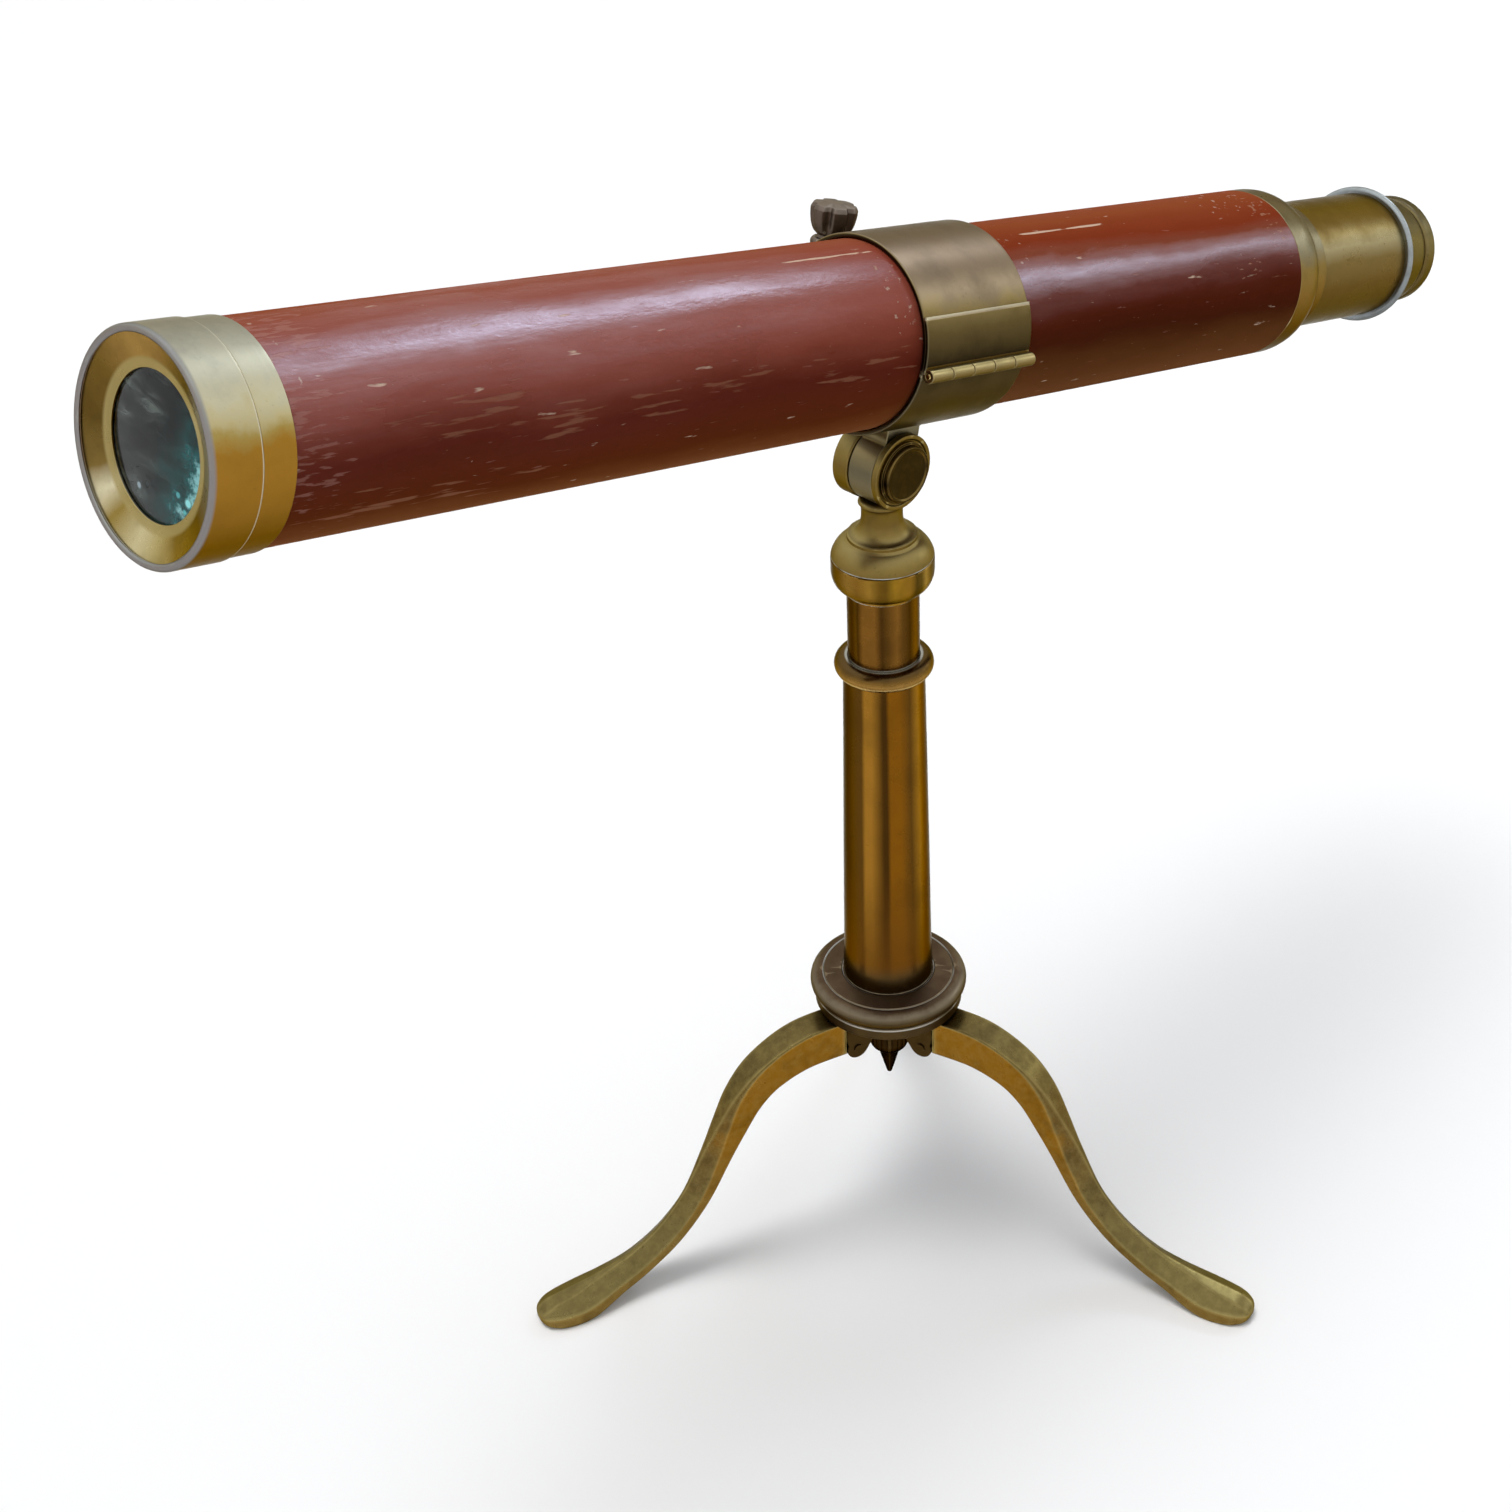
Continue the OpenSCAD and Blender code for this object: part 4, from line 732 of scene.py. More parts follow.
# Strap: the upper half of the clamp, rolled from the same sheet with a leaf soldered along its hinge
# edge. It has two knuckles and the other lug, and hangs on a pin of brass wire.
PIN_R = 1.0
PIN_FROM, PIN_TO = -26.2, 25.0
strap = piece("strap_upper_half",
              [rolled(CRADLE_IN, CRADLE_OUT, start=-5.75, end=162.9),
               rolled(CRADLE_OUT - 0.6, CRADLE_OUT + 0.9, start=-5.2, end=26)] + knuckles(1)
              + lug(low=9.15, high=14.55, hole_r=2.8), BARREL_FRAME, "strap_half", "strap")
strap.data.materials.append(sheet_brass)
# brass wire, drawn hard: brown, with a highlight painted along it on top
drawn_wire = old_brass(
    "drawn_brass_wire", facing=[(-1.0, "#6b5426"), (0.3, "#9a7f45"), (1.0, "#b8a270")], worn="#d8c690",
    mottled=0.25, rough=0.24)
pin_outline = [
    (0, PIN_FROM), (PIN_R - 0.3, PIN_FROM), (PIN_R, PIN_FROM + 0.4), (PIN_R, PIN_TO - 0.3),
    (PIN_R - 0.3, PIN_TO), (0, PIN_TO)]
pin = piece("cradle_hinge_pin_wire", [turned(pin_outline, "X", (0, HINGE_Y, HINGE_Z), 0.2, 32)],
            BARREL_FRAME, "cradle_half", "cradle_hinge_pin")
pin.data.materials.append(drawn_wire)
# the knuckles are rubbed brighter than the bands, and their highlight is painted on top
knuckle_brass = old_brass(
    "sheet_brass_rubbed_with_painted_highlight",
    facing=[(-1.0, "#54421f"), (0.0, "#7d6a40"), (0.5, "#a59568"), (1.0, "#8f8158")], worn="#cfc49c",
    mottled=0.2, rough=0.3)
for half_piece in (cradle, strap):
    half_piece.data.materials.append(knuckle_brass)
    for face in half_piece.data.polygons:
        from_pin = math.hypot(face.center.y - HINGE_Y * MM, face.center.z - HINGE_Z * MM)
        if from_pin < (KNUCKLE_R + 0.2) * MM:
            face.material_index = 1


# Clamp screw: a cast bronze thumbscrew with six finger hollows, a beaded collar and a plain
# shank, over a loose brass washer.
SCREW_SEAT = 15.75
SCREW_TIP = 4.45
HEAD_R = 7.8
HEAD_H = 10.6
COLLAR_R = 6.5
COLLAR_H = 3.6
COLLAR_ROUND = 1.8
SHANK_R = 2.5
HOLLOWS = 6
HOLLOW_SHARE = 0.20
SCREW_STEPS = 144
# cast bronze, grey-brown and nearly matt, painted lighter on the faces that look up
grey_bronze = old_brass(
    "cast_bronze_gone_grey_brown",
    facing=[(-1.0, "#3f342c"), (0.0, "#5f5248"), (0.5, "#6f645b"), (1.0, "#857b72")], dirt="#2a221c",
    worn="#a39a90", mottled=0.4, patch_mm=4.0, rough=0.38)
shank_low = SCREW_TIP - SCREW_SEAT
head_low, head_top = COLLAR_H + 1.0, COLLAR_H + 1.0 + HEAD_H
screw_outline = eased([(0, shank_low), (SHANK_R - 0.5, shank_low), (SHANK_R, shank_low + 0.5),
                       (SHANK_R, 0.02), (COLLAR_R - COLLAR_ROUND, 0.02)]
                      + bow(COLLAR_R - COLLAR_ROUND, COLLAR_H / 2, COLLAR_ROUND, COLLAR_H / 2, -80, 80)
                      + [(0.6 * HEAD_R, COLLAR_H), (0.55 * HEAD_R, head_low)]
                      + bow(0.55 * HEAD_R, head_top - 2, 0.45 * HEAD_R, 2 - HEAD_H, 85, 0, 20)
                      + [(0.9 * HEAD_R, head_top - 0.6), (0.5 * HEAD_R, head_top), (0, head_top)], 0.5)
rings = []
for k in range(SCREW_STEPS):
    t = 2 * math.pi * k / SCREW_STEPS
    hollow = max(0.0, math.cos(HOLLOWS * t + math.pi)) ** 1.5
    ring_points = []
    for r, h in screw_outline:
        # the hollows deepen over 4 mm up the head and run out towards its middle
        risen = min(1.0, max(0.0, (h - head_low) / 4.0))
        r *= 1 - HOLLOW_SHARE * hollow * risen * min(1.0, r / (0.6 * HEAD_R))
        ring_points.append((r * math.cos(t), r * math.sin(t) - SCREW_Y, h + SCREW_SEAT))
    rings.append(ring_points)
screw = piece("thumbscrew_cast", [skin(rings, wrap=True)], BARREL_FRAME, "clamp_screw", "thumbscrew")
screw.data.materials.append(grey_bronze)
dress("clamp_washer", drawn_wire, 0.2)


# Barrel: a wooden tube turned on a lathe, filled, painted red-brown and rubbed down to a satin.
# It slides in the cradle, which has scratched and chipped it. Its bore is blackened.
BARREL_R = 30.0
BARREL_BORE = 25.0
BARREL_FRONT = 259.0
BARREL_REAR = -181.5
SPIGOT_R = 28.4
SPIGOT_FRONT = 264.0
SPIGOT_REAR = -189.5


def satin_paint():
    """Oil paint over filler on turned wood, rubbed to a satin: orange on top, deep red-brown at the sides
    and darkest underneath, tints that hold painted light and shade as well as the paint's own colour; with
    tan scratches, a pale crack, and chips down to the filler by the brass."""
    material, tree, shader = blank_material("satin_oil_paint_on_turned_wood")
    place = add(tree, "TexCoord").outputs["Object"]
    parts = add(tree, "SeparateXYZ", {"Vector": place})
    angle = add(tree, "Math", {0: parts.outputs["Z"], 1: parts.outputs["Y"]}, operation="ARCTAN2")
    drawn = add(tree, "Mapping", {"Vector": place, "Scale": (0.3, 1.0, 1.0)})
    patches = add(tree, "TexNoise",
                  {"Vector": drawn, "Scale": per_metre(22), "Detail": 5.0, "Roughness": 0.6})
    drift = add(tree, "Math", {0: patches, 1: -0.5}, operation="ADD")
    uneven = add(tree, "Math", {0: drift, 1: 0.5, 2: angle}, operation="MULTIPLY_ADD")
    share = add(tree, "MapRange", {"Value": uneven, "From Min": -math.pi, "From Max": math.pi})
    # the tints round the barrel, painted light and shade among them, are deeper behind the cradle
    front = [(-180, "#6b2e1c"), (-120, "#4a200c"), (-60, "#7a4e30"), (-45, "#6a3c1e"), (-30, "#5a2a12"),
             (0, "#602518"), (22, "#863f2e"), (40, "#914939"), (60, "#843d2f"), (80, "#8a4230"),
             (100, "#8e4c34"), (126, "#8e4e35"), (150, "#7c361d"), (180, "#6b2e1c")]
    rear = [(-180, "#6b2e1c"), (-120, "#4a200c"), (-50, "#6b4326"), (-20, "#5a3419"), (-4, "#4a2010"),
            (10, "#562313"), (25, "#662f24"), (40, "#763a30"), (52, "#80402c"), (62, "#80351d"),
            (85, "#8a4527"), (100, "#8c4a30"), (126, "#8a4527"), (180, "#6b2e1c")]
    behind = add(tree, "MapRange", {"Value": parts.outputs["X"], "From Min": 30 * MM, "From Max": -30 * MM})
    paint_and_shade_tints = [add(tree, "ValToRGB", {"Fac": share}, stops=[((a + 180) / 360, tint) for a, tint in tints])
             for tints in (front, rear)]
    base = add(tree, "Mix", {"Factor": behind, "A": paint_and_shade_tints[0], "B": paint_and_shade_tints[1]}, data_type="RGBA")
    # the place on the barrel unrolled: along it in metres, round it in radians
    unrolled = add(tree, "CombineXYZ", {"X": parts.outputs["X"], "Y": angle})

    def zone(along_mm, at_degrees, reach_mm, reach_degrees):
        """How far inside a patch of the barrel a point is, from 0 at its edge to 1."""
        off = add(tree, "VectorMath", {0: unrolled, 1: (along_mm * MM, math.radians(at_degrees), 0)},
                  operation="SUBTRACT")
        away = add(tree, "VectorMath", {0: off}, operation="ABSOLUTE")
        scaled = add(tree, "VectorMath",
                     {0: away, 1: (1 / (reach_mm * MM), 1 / math.radians(reach_degrees), 0)},
                     operation="MULTIPLY")
        sides = add(tree, "SeparateXYZ", {"Vector": scaled})
        most = add(tree, "Math", {0: sides.outputs["X"], 1: sides.outputs["Y"]}, operation="MAXIMUM")
        return add(tree, "MapRange", {"Value": most, "From Min": 1.0, "From Max": 0.45})

    def greatest(values):
        """The greatest of several shares."""
        total = values[0]
        for value in values[1:]:
            total = add(tree, "Math", {0: total, 1: value}, operation="MAXIMUM")
        return total

    def marked(under, scale_mm, amount, reach, tint, strength, cut=0.70):
        """Paint marked by noise of a size (along, round in mm) where it rises past the cut, which is lower
        by the reach where the amount is 1; with the share that is marked."""
        stretch = add(tree, "Mapping",
                      {"Vector": unrolled, "Scale": (per_metre(scale_mm[0]), BARREL_R / scale_mm[1], 1.0)})
        noise = add(tree, "TexNoise", {"Vector": stretch, "Scale": 1.0, "Detail": 3.0, "Roughness": 0.5})
        raised = add(tree, "Math", {0: amount, 1: reach, 2: noise}, operation="MULTIPLY_ADD")
        mark = add(tree, "MapRange",
                   {"Value": raised, "From Min": cut, "From Max": cut + 0.06, "To Max": strength})
        return add(tree, "Mix", {"Factor": mark, "A": under, "B": colour(tint)}, data_type="RGBA"), mark

    # scratches of 20 by 2 mm along both sides, most in front of the cradle, and small wear all along
    scuffs = greatest([zone(52, 4, 28, 14), zone(150, 2, 40, 12), zone(205, 15, 30, 14),
                       zone(105, 10, 24, 10), zone(215, -28, 60, 14), zone(130, 160, 90, 16),
                       zone(-90, 164, 70, 13)])
    tone, scratch = marked(base, (20.0, 2.0), scuffs, 0.17, "#93644c", 0.5, 0.71)
    tone, wear = marked(tone, (6.0, 1.2), zone(60, -8, 320, 36), 0.05, "#8d5f47", 0.5, 0.76)
    # strokes along the paint behind the objective ferrule, and a rubbed patch towards the rear
    tone, stroke = marked(tone, (9.0, 1.6), greatest([zone(254, 12, 16, 62), zone(250, 78, 18, 34)]), 0.17,
                          "#a5766a", 0.38, 0.70)
    tone, rub = marked(tone, (4.0, 1.6), greatest([zone(-150, 27, 12, 10), zone(-172, 60, 8, 30)]), 0.16,
                       "#a87a60", 0.7, 0.74)
    # the crack along the top on both sides of the cradle, half a millimetre wide
    crack = greatest([zone(52, 77, 30, 1.2), zone(-62, 74, 36, 1.2)])
    tone, split = marked(tone, (14.0, 3.0), crack, 0.36, "#d3b79f", 0.85)
    # chips of 2 to 3 mm down to the filler, most of them by the brass, and specks all over
    edges = greatest([zone(30, 45, 9, 42), zone(-31, 58, 10, 26), zone(-160, 85, 24, 30),
                      zone(256, 75, 5, 50)])
    tone, chip = marked(tone, (3.0, 2.4), edges, 0.13, "#b99a88", 0.8, 0.75)
    tone, _ = marked(tone, (3.4, 2.0), 0.0, 0.0, "#9a705c", 0.6, 0.80)
    # rubbed to a satin, duller where it is marked
    gloss = add(tree, "MapRange",
                {"Value": patches, "From Min": 0.3, "From Max": 0.7, "To Min": 0.23, "To Max": 0.34})
    hurt = greatest([scratch, wear, stroke, rub, split, chip])
    rough = add(tree, "Math", {0: hurt, 1: 0.3, 2: gloss}, operation="MULTIPLY_ADD")
    # brush marks of 5 by 2 mm, with the scratches and chips sunk in the paint
    brushed = add(tree, "Mapping", {"Vector": place, "Scale": (per_metre(5), per_metre(2), per_metre(2))})
    peel = add(tree, "TexNoise", {"Vector": brushed, "Scale": 1.0, "Detail": 5.0, "Roughness": 0.6})
    sunk = add(tree, "Math", {0: peel, 1: hurt}, operation="SUBTRACT")
    bump = add(tree, "Bump", {"Height": sunk, "Strength": 0.42, "Distance": 0.3 * MM})
    # handled to a polish in a band along each side, lower behind the cradle and faint beside it
    front_polish = [(-180, "#202020"), (-160, "#000000"), (-20, "#000000"), (8, "#181818"), (24, "#585858"),
                    (38, "#808080"), (46, "#a8a8a8"), (53, "#f0f0f0"), (60, "#b4b4b4"), (68, "#888888"),
                    (76, "#404040"), (88, "#080808"), (100, "#000000"), (132, "#000000"), (148, "#606060"),
                    (164, "#404040"), (180, "#202020")]
    rear_polish = [(-180, "#202020"), (-160, "#000000"), (16, "#000000"), (27, "#404040"), (35, "#a8a8a8"),
                   (40, "#f4f4f4"), (45, "#989898"), (52, "#141414"), (60, "#000000"), (132, "#000000"),
                   (148, "#606060"), (164, "#404040"), (180, "#202020")]
    sheens = [add(tree, "ValToRGB", {"Fac": share}, stops=[((a + 180) / 360, tint) for a, tint in tints])
              for tints in (front_polish, rear_polish)]
    beside = add(tree, "MapRange",
                 {"Value": parts.outputs["X"], "From Min": 30 * MM, "From Max": 235 * MM, "To Min": 0.1,
                  "To Max": 1.4})
    fainter = add(tree, "Math", {0: sheens[0], 1: beside}, operation="MULTIPLY")
    rearward = add(tree, "MapRange",
                   {"Value": parts.outputs["X"], "From Min": -90 * MM, "From Max": -45 * MM,
                    "To Min": 0.62})
    weaker = add(tree, "Math", {0: sheens[1], 1: rearward}, operation="MULTIPLY")
    sheen = add(tree, "Mix", {"Factor": behind, "A": fainter, "B": weaker}, data_type="FLOAT")
    # the polish is streaked along the barrel, in strokes of about 30 mm by 3 mm
    strokes = add(tree, "Mapping", {"Vector": unrolled, "Scale": (per_metre(30), BARREL_R / 3, 1.0)})
    streaks = add(tree, "TexNoise", {"Vector": strokes, "Scale": 1.0, "Detail": 6.0, "Roughness": 0.7})
    shine = add(tree, "MapRange",
                {"Value": streaks, "From Min": 0.3, "From Max": 0.7, "To Min": 0.6, "To Max": 1.4})
    streaked = add(tree, "Math", {0: sheen, 1: shine}, operation="MULTIPLY")
    feed(shader, {"Base Color": tone, "Roughness": rough, "Normal": bump, "IOR": 1.9,
                  "Specular IOR Level": streaked, "Specular Tint": colour("#e9ecff")})
    return material


# matt black lacquer, brushed inside tubes to stop stray light
black_lacquer, tree, shader = blank_material("matt_black_lacquer")
grit = add(tree, "TexNoise",
           {"Vector": add(tree, "TexCoord").outputs["Object"], "Scale": per_metre(1.5), "Detail": 4.0})
lampblack = add(tree, "ValToRGB", {"Fac": grit},
                stops=[(0.3, "#060505"), (0.5, "#0a0908"), (0.7, "#0f0d0b")])
feed(shader, {"Base Color": lampblack, "Roughness": 0.8, "Specular IOR Level": 0.1})
barrel_outline = [
    (BARREL_BORE, SPIGOT_REAR), (SPIGOT_R, SPIGOT_REAR), (SPIGOT_R, BARREL_REAR), (BARREL_R, BARREL_REAR),
    (BARREL_R, -100.0), (BARREL_R, 0.0), (BARREL_R, 130.0), (BARREL_R, BARREL_FRONT),
    (SPIGOT_R, BARREL_FRONT), (SPIGOT_R, SPIGOT_FRONT), (BARREL_BORE, SPIGOT_FRONT)]
barrel = piece("barrel_painted", [turned(barrel_outline, "X", ease=0.4, segments=192)], BARREL_FRAME,
               "tube", "barrel")
barrel.data.materials.append(satin_paint())
barrel.data.materials.append(black_lacquer)
for face in barrel.data.polygons:
    if math.hypot(face.center.y, face.center.z) < (BARREL_BORE + 1.0) * MM:
        face.material_index = 1
dress("barrel_stops", black_lacquer)
dress("erector_stop", black_lacquer)


# Objective ferrule and cell: a brass ring driven over the barrel's stepped front end, and the
# front that screws into it, with a rolled rim and a dish down to the glass.
FERRULE_R = 30.7
FERRULE_END = 269.0
CELL_R = 31.25
CELL_END = 284.55
RIM_T = 2.4
LIP_FRONT = 280.4
LIP_BACK = 279.6
LIP_R = 21.5
DISH_R = 29.6
CLEAR_R = 19.8
GLASS_R = 21.45
# turned brass, clean and satin: pale where it looks up, golden below, tints partly painted reflection;
# the rim worn to grey
front_facing = [(-1.0, "#6b4c14"), (-0.5, "#835e20"), (0.0, "#966c25"), (0.26, "#986f27"),
                (0.38, "#a08a4c"), (0.48, "#b5a87c"), (0.62, "#bdb799"), (0.8, "#b2af9a"), (1.0, "#a19f90")]
ferrule_brass = old_brass(
    "turned_brass_worn_satin", facing=front_facing, worn="#d5cca4", mottled=0.12, patch_mm=9.0, rough=0.30,
    pits=0.12, grain="X")
cell_brass = old_brass(
    "turned_brass_with_worn_rim", facing=front_facing,
    lines=[("X", CELL_END - 1.65, CELL_END + 1.65, "#84868a"),
           ("X", FERRULE_END - 0.2, FERRULE_END + 0.9, "#cbc6b0")],
    worn="#d5cca4", mottled=0.12, patch_mm=9.0, rough=0.28, pits=0.12, grain="X")
ferrule_outline = [
    (SPIGOT_R + FIT, BARREL_FRONT), (FERRULE_R, BARREL_FRONT), (FERRULE_R, FERRULE_END),
    (SPIGOT_R + FIT, FERRULE_END)]
ferrule = piece("objective_ferrule_ring", [turned(ferrule_outline, "X", ease=0.3, segments=192)],
                BARREL_FRAME, "tube", "objective_ferrule")
ferrule.data.materials.append(ferrule_brass)
cell_outline = (
    [(GLASS_R + FIT, SPIGOT_FRONT + 0.1), (GLASS_R + FIT, LIP_BACK), (CLEAR_R, LIP_BACK),
     (CLEAR_R, LIP_FRONT), (LIP_R, LIP_FRONT), (DISH_R, CELL_END - RIM_T / 2)]
    + bow(CELL_R - RIM_T / 2, CELL_END - RIM_T / 2, RIM_T / 2, RIM_T / 2, 150, 0)
    + [(CELL_R, FERRULE_END + 0.5), (CELL_R - 0.4, FERRULE_END + FIT), (SPIGOT_R - FIT, FERRULE_END + FIT),
       (SPIGOT_R - FIT, SPIGOT_FRONT + 0.1)])
cell = piece("objective_cell_turned", [turned(cell_outline, "X", ease=0.25, segments=192)], BARREL_FRAME,
             "tube", "objective_cell")
# the dish, turned bright: its gleams, in two or three directions as a cone shows them, are painted round it
dish_brass = old_brass(
    "turned_brass_dish",
    around=[(-180, "#5f4a20"), (-152, "#7a6434"), (-137, "#d6cdaa"), (-122, "#8f7838"), (-97, "#c5b98e"),
            (-80, "#b0a06a"), (-60, "#8a6f30"), (-30, "#7d6128"), (0, "#a8a080"), (35, "#c9c2a4"),
            (55, "#8d7439"), (85, "#a5834e"), (110, "#a07f48"), (145, "#6f5626"), (180, "#5f4a20")],
    lines=[("X", LIP_FRONT - 0.5, LIP_FRONT + 0.6, "#a3925f")], worn="#d5cca4", mottled=0.2, patch_mm=7.0,
    rough=0.25, pits=0.2, post="X")
cell.data.materials.append(cell_brass)
cell.data.materials.append(dish_brass)
for face in cell.data.polygons:
    from_axis = math.hypot(face.center.y, face.center.z)
    if face.normal.x > 0.5 and CLEAR_R * MM < from_axis < (CELL_R - RIM_T) * MM:
        face.material_index = 1


# Objective glass: a crown and a flint lens, ground and polished, held by a spacer and a ring.
# The crown has tarnished to a thin film that reflects little; a blue-green reflection along one edge,
# streaks of reflection and glints are painted on it.
CROWN_EDGE = 279.36
CROWN_BACK = 276.16
CROWN_FRONT_CURVE = 180.0
CROWN_BACK_CURVE = 130.0
CROWN_STEPS = 20


def sag(face_r, r):
    """How far a lens face of this radius has curved back at a distance from its axis."""
    return face_r - math.sqrt(face_r * face_r - r * r)


# polished glass of the hidden lenses: clear grey-green, with smears of 6 mm that dull it a little
glass, tree, shader = blank_material("polished_optical_glass")
smear = add(tree, "TexNoise",
            {"Vector": add(tree, "TexCoord").outputs["Object"], "Scale": per_metre(6), "Detail": 4.0})
dull = add(tree, "MapRange",
           {"Value": smear, "From Min": 0.4, "From Max": 0.8, "To Min": 0.01, "To Max": 0.12})
feed(shader, {"Base Color": colour("#55625d"), "Roughness": dull, "Transmission Weight": 1.0, "IOR": 1.52,
              "Specular IOR Level": 0.2})
radii = [GLASS_R * i / CROWN_STEPS for i in range(CROWN_STEPS + 1)]
front_face = [(r, CROWN_EDGE + sag(CROWN_FRONT_CURVE, GLASS_R) - sag(CROWN_FRONT_CURVE, r))
              for r in radii]
back_face = [(r, CROWN_BACK - sag(CROWN_BACK_CURVE, GLASS_R) + sag(CROWN_BACK_CURVE, r))
             for r in reversed(radii)]
crown_outline = front_face + back_face
crown = piece("objective_crown_glass", [turned(crown_outline, "X", ease=0.05)], BARREL_FRAME, "tube",
              "crown_lens")
# crown glass under its film: dark and clear, with a blue-green reflection painted in patches of 5 mm along
# one edge
crown_glass_with_painted_light, tree, shader = blank_material("polished_crown_glass_with_painted_reflections")
place = add(tree, "TexCoord").outputs["Object"]
cloud = add(tree, "TexNoise", {"Vector": place, "Scale": per_metre(5), "Detail": 5.0, "Roughness": 0.65})
to_edge = add(tree, "VectorMath", {0: place, 1: (0, 0.93, -0.37)}, operation="DOT_PRODUCT")
near_edge = add(tree, "MapRange", {"Value": to_edge, "From Min": -4 * MM, "From Max": 21 * MM})
teal_reflection_mask = add(tree, "Math", {0: near_edge, 1: cloud}, operation="MULTIPLY")
teal_reflection_share = add(tree, "MapRange", {"Value": teal_reflection_mask, "From Min": 0.10, "From Max": 0.55, "To Max": 0.85})
# streaks of reflection painted across it, then the painted blue-green reflection
streaked = add(tree, "Mapping", {"Vector": place, "Rotation": (0.6, 0, 0), "Scale": (1.0, 0.35, 1.0)})
streaks = add(tree, "TexNoise",
              {"Vector": streaked, "Scale": per_metre(5), "Detail": 5.0, "Roughness": 0.6})
painted_streak_reflections = add(tree, "ValToRGB", {"Fac": streaks},
           stops=[(0.32, "#161b1a"), (0.5, "#353e3b"), (0.68, "#6c7872")])
painted_teal_reflection = add(tree, "ValToRGB", {"Fac": teal_reflection_mask},
            stops=[(0.0, "#122b29"), (0.22, "#174744"), (0.40, "#26787a"), (0.50, "#9fe6ea")])
teal_reflection_mix = add(tree, "MapRange", {"Value": teal_reflection_mask, "From Min": 0.02, "From Max": 0.2})
seen = add(tree, "Mix", {"Factor": teal_reflection_mix, "A": painted_streak_reflections, "B": painted_teal_reflection}, data_type="RGBA")
film_and_painted_light = add(tree, "MapRange", {"Value": streaks, "From Min": 0.42, "From Max": 0.66, "To Max": 0.6})
painted_light_cover = add(tree, "Math", {0: teal_reflection_share, 1: film_and_painted_light}, operation="MAXIMUM")
# painted glints of light: where each is across the glass, how wide, and its tint
flat = add(tree, "VectorMath", {0: place, 1: (0, 1, 1)}, operation="MULTIPLY")
for across, up, wide, tint in ((14.6, -10.2, 1.7, "#9ff4f6"), (10.6, -9.2, 1.2, "#4fa9ae"),
                               (-6.6, -12.4, 1.3, "#93a6ae"), (13.2, -13.0, 0.9, "#62c4c8")):
    away = add(tree, "VectorMath", {0: flat, 1: (0, across * MM, up * MM)}, operation="DISTANCE")
    painted_glint = add(tree, "MapRange", {"Value": away, "From Min": wide * MM, "From Max": wide * 0.5 * MM})
    seen = add(tree, "Mix", {"Factor": painted_glint, "A": seen, "B": colour(tint)}, data_type="RGBA")
    painted_light_cover = add(tree, "Math", {0: painted_light_cover, 1: painted_glint}, operation="MAXIMUM")
clear = add(tree, "MapRange", {"Value": painted_light_cover, "To Min": 1.0, "To Max": 0.0})
feed(shader, {"Base Color": seen, "Transmission Weight": clear, "Roughness": 0.08, "IOR": 1.3})
crown.data.materials.append(crown_glass_with_painted_light)
for name in ("flint_lens", "eye_lens", "field_lens", "erector_lenses"):
    dress(name, glass)
for name in ("lens_spacer", "lens_ring"):
    dress(name, black_lacquer)


# Rear cap: turned brass with an ogee shoulder, pressed on the barrel's rear step, over the beech
# sleeve that guides the draw tube.
CAP_END = -206.0
CAP_NECK_R = 24.55
CAP_ROUND = (BARREL_R - CAP_NECK_R) / 2
CAP_HOLE_R = 23.35
OGEE_FRONT, OGEE_BACK = -188.5, -202.0
OGEE_HALF = 6.75
# turned brass gone olive, paler where it looks up, tints partly painted light, with the hollow of the ogee
# left brown
cap_brass = old_brass(
    "turned_brass_olive_with_painted_light",
    facing=[(-1.0, "#4a3416"), (-0.5, "#5a4020"), (0.0, "#7f6232"), (0.3, "#86703f"), (0.55, "#8a8269"),
            (0.85, "#6d6249"), (1.0, "#645844")],
    worn="#c2b78e", mottled=0.22, patch_mm=8.0, rough=0.27, pits=0.25, grain="X")
cap_outline = (
    [(SPIGOT_R + FIT, BARREL_REAR - FIT), (BARREL_R, BARREL_REAR - FIT)]
    + bow(BARREL_R - CAP_ROUND, OGEE_FRONT, CAP_ROUND, -OGEE_HALF, 0, 90)
    + bow(CAP_NECK_R + CAP_ROUND, OGEE_BACK, -CAP_ROUND, OGEE_HALF, 90, 0)
    + [(CAP_NECK_R, CAP_END), (CAP_HOLE_R, CAP_END), (CAP_HOLE_R, SPIGOT_REAR - FIT),
       (SPIGOT_R + FIT, SPIGOT_REAR - FIT)])
cap = piece("rear_cap_turned", [turned(cap_outline, "X", ease=0.35)], BARREL_FRAME, "tube", "rear_cap")
cap.data.materials.append(cap_brass)
# turned beech: pale brown with short dark flecks
beech, tree, shader = blank_material("turned_beech")
grain = add(tree, "Mapping",
            {"Vector": add(tree, "TexCoord").outputs["Object"],
             "Scale": (per_metre(8), per_metre(1), per_metre(1))})
fleck = add(tree, "TexNoise", {"Vector": grain, "Scale": 1.0, "Detail": 5.0})
flecked = add(tree, "ValToRGB", {"Fac": fleck},
              stops=[(0.3, "#7c5632"), (0.5, "#a37a4c"), (0.7, "#b98d5a")])
feed(shader, {"Base Color": flecked, "Roughness": 0.65})
dress("draw_guide", beech)


# Draw tube: brass tube drawn over a mandrel, browned by hands, with the stop ring and the tube of
# the erecting lenses hidden in it.
DRAW_R = 23.3
DRAW_BORE = 22.5
FLANGE_FRONT = -261.5
DRAW_FRONT = -30.55
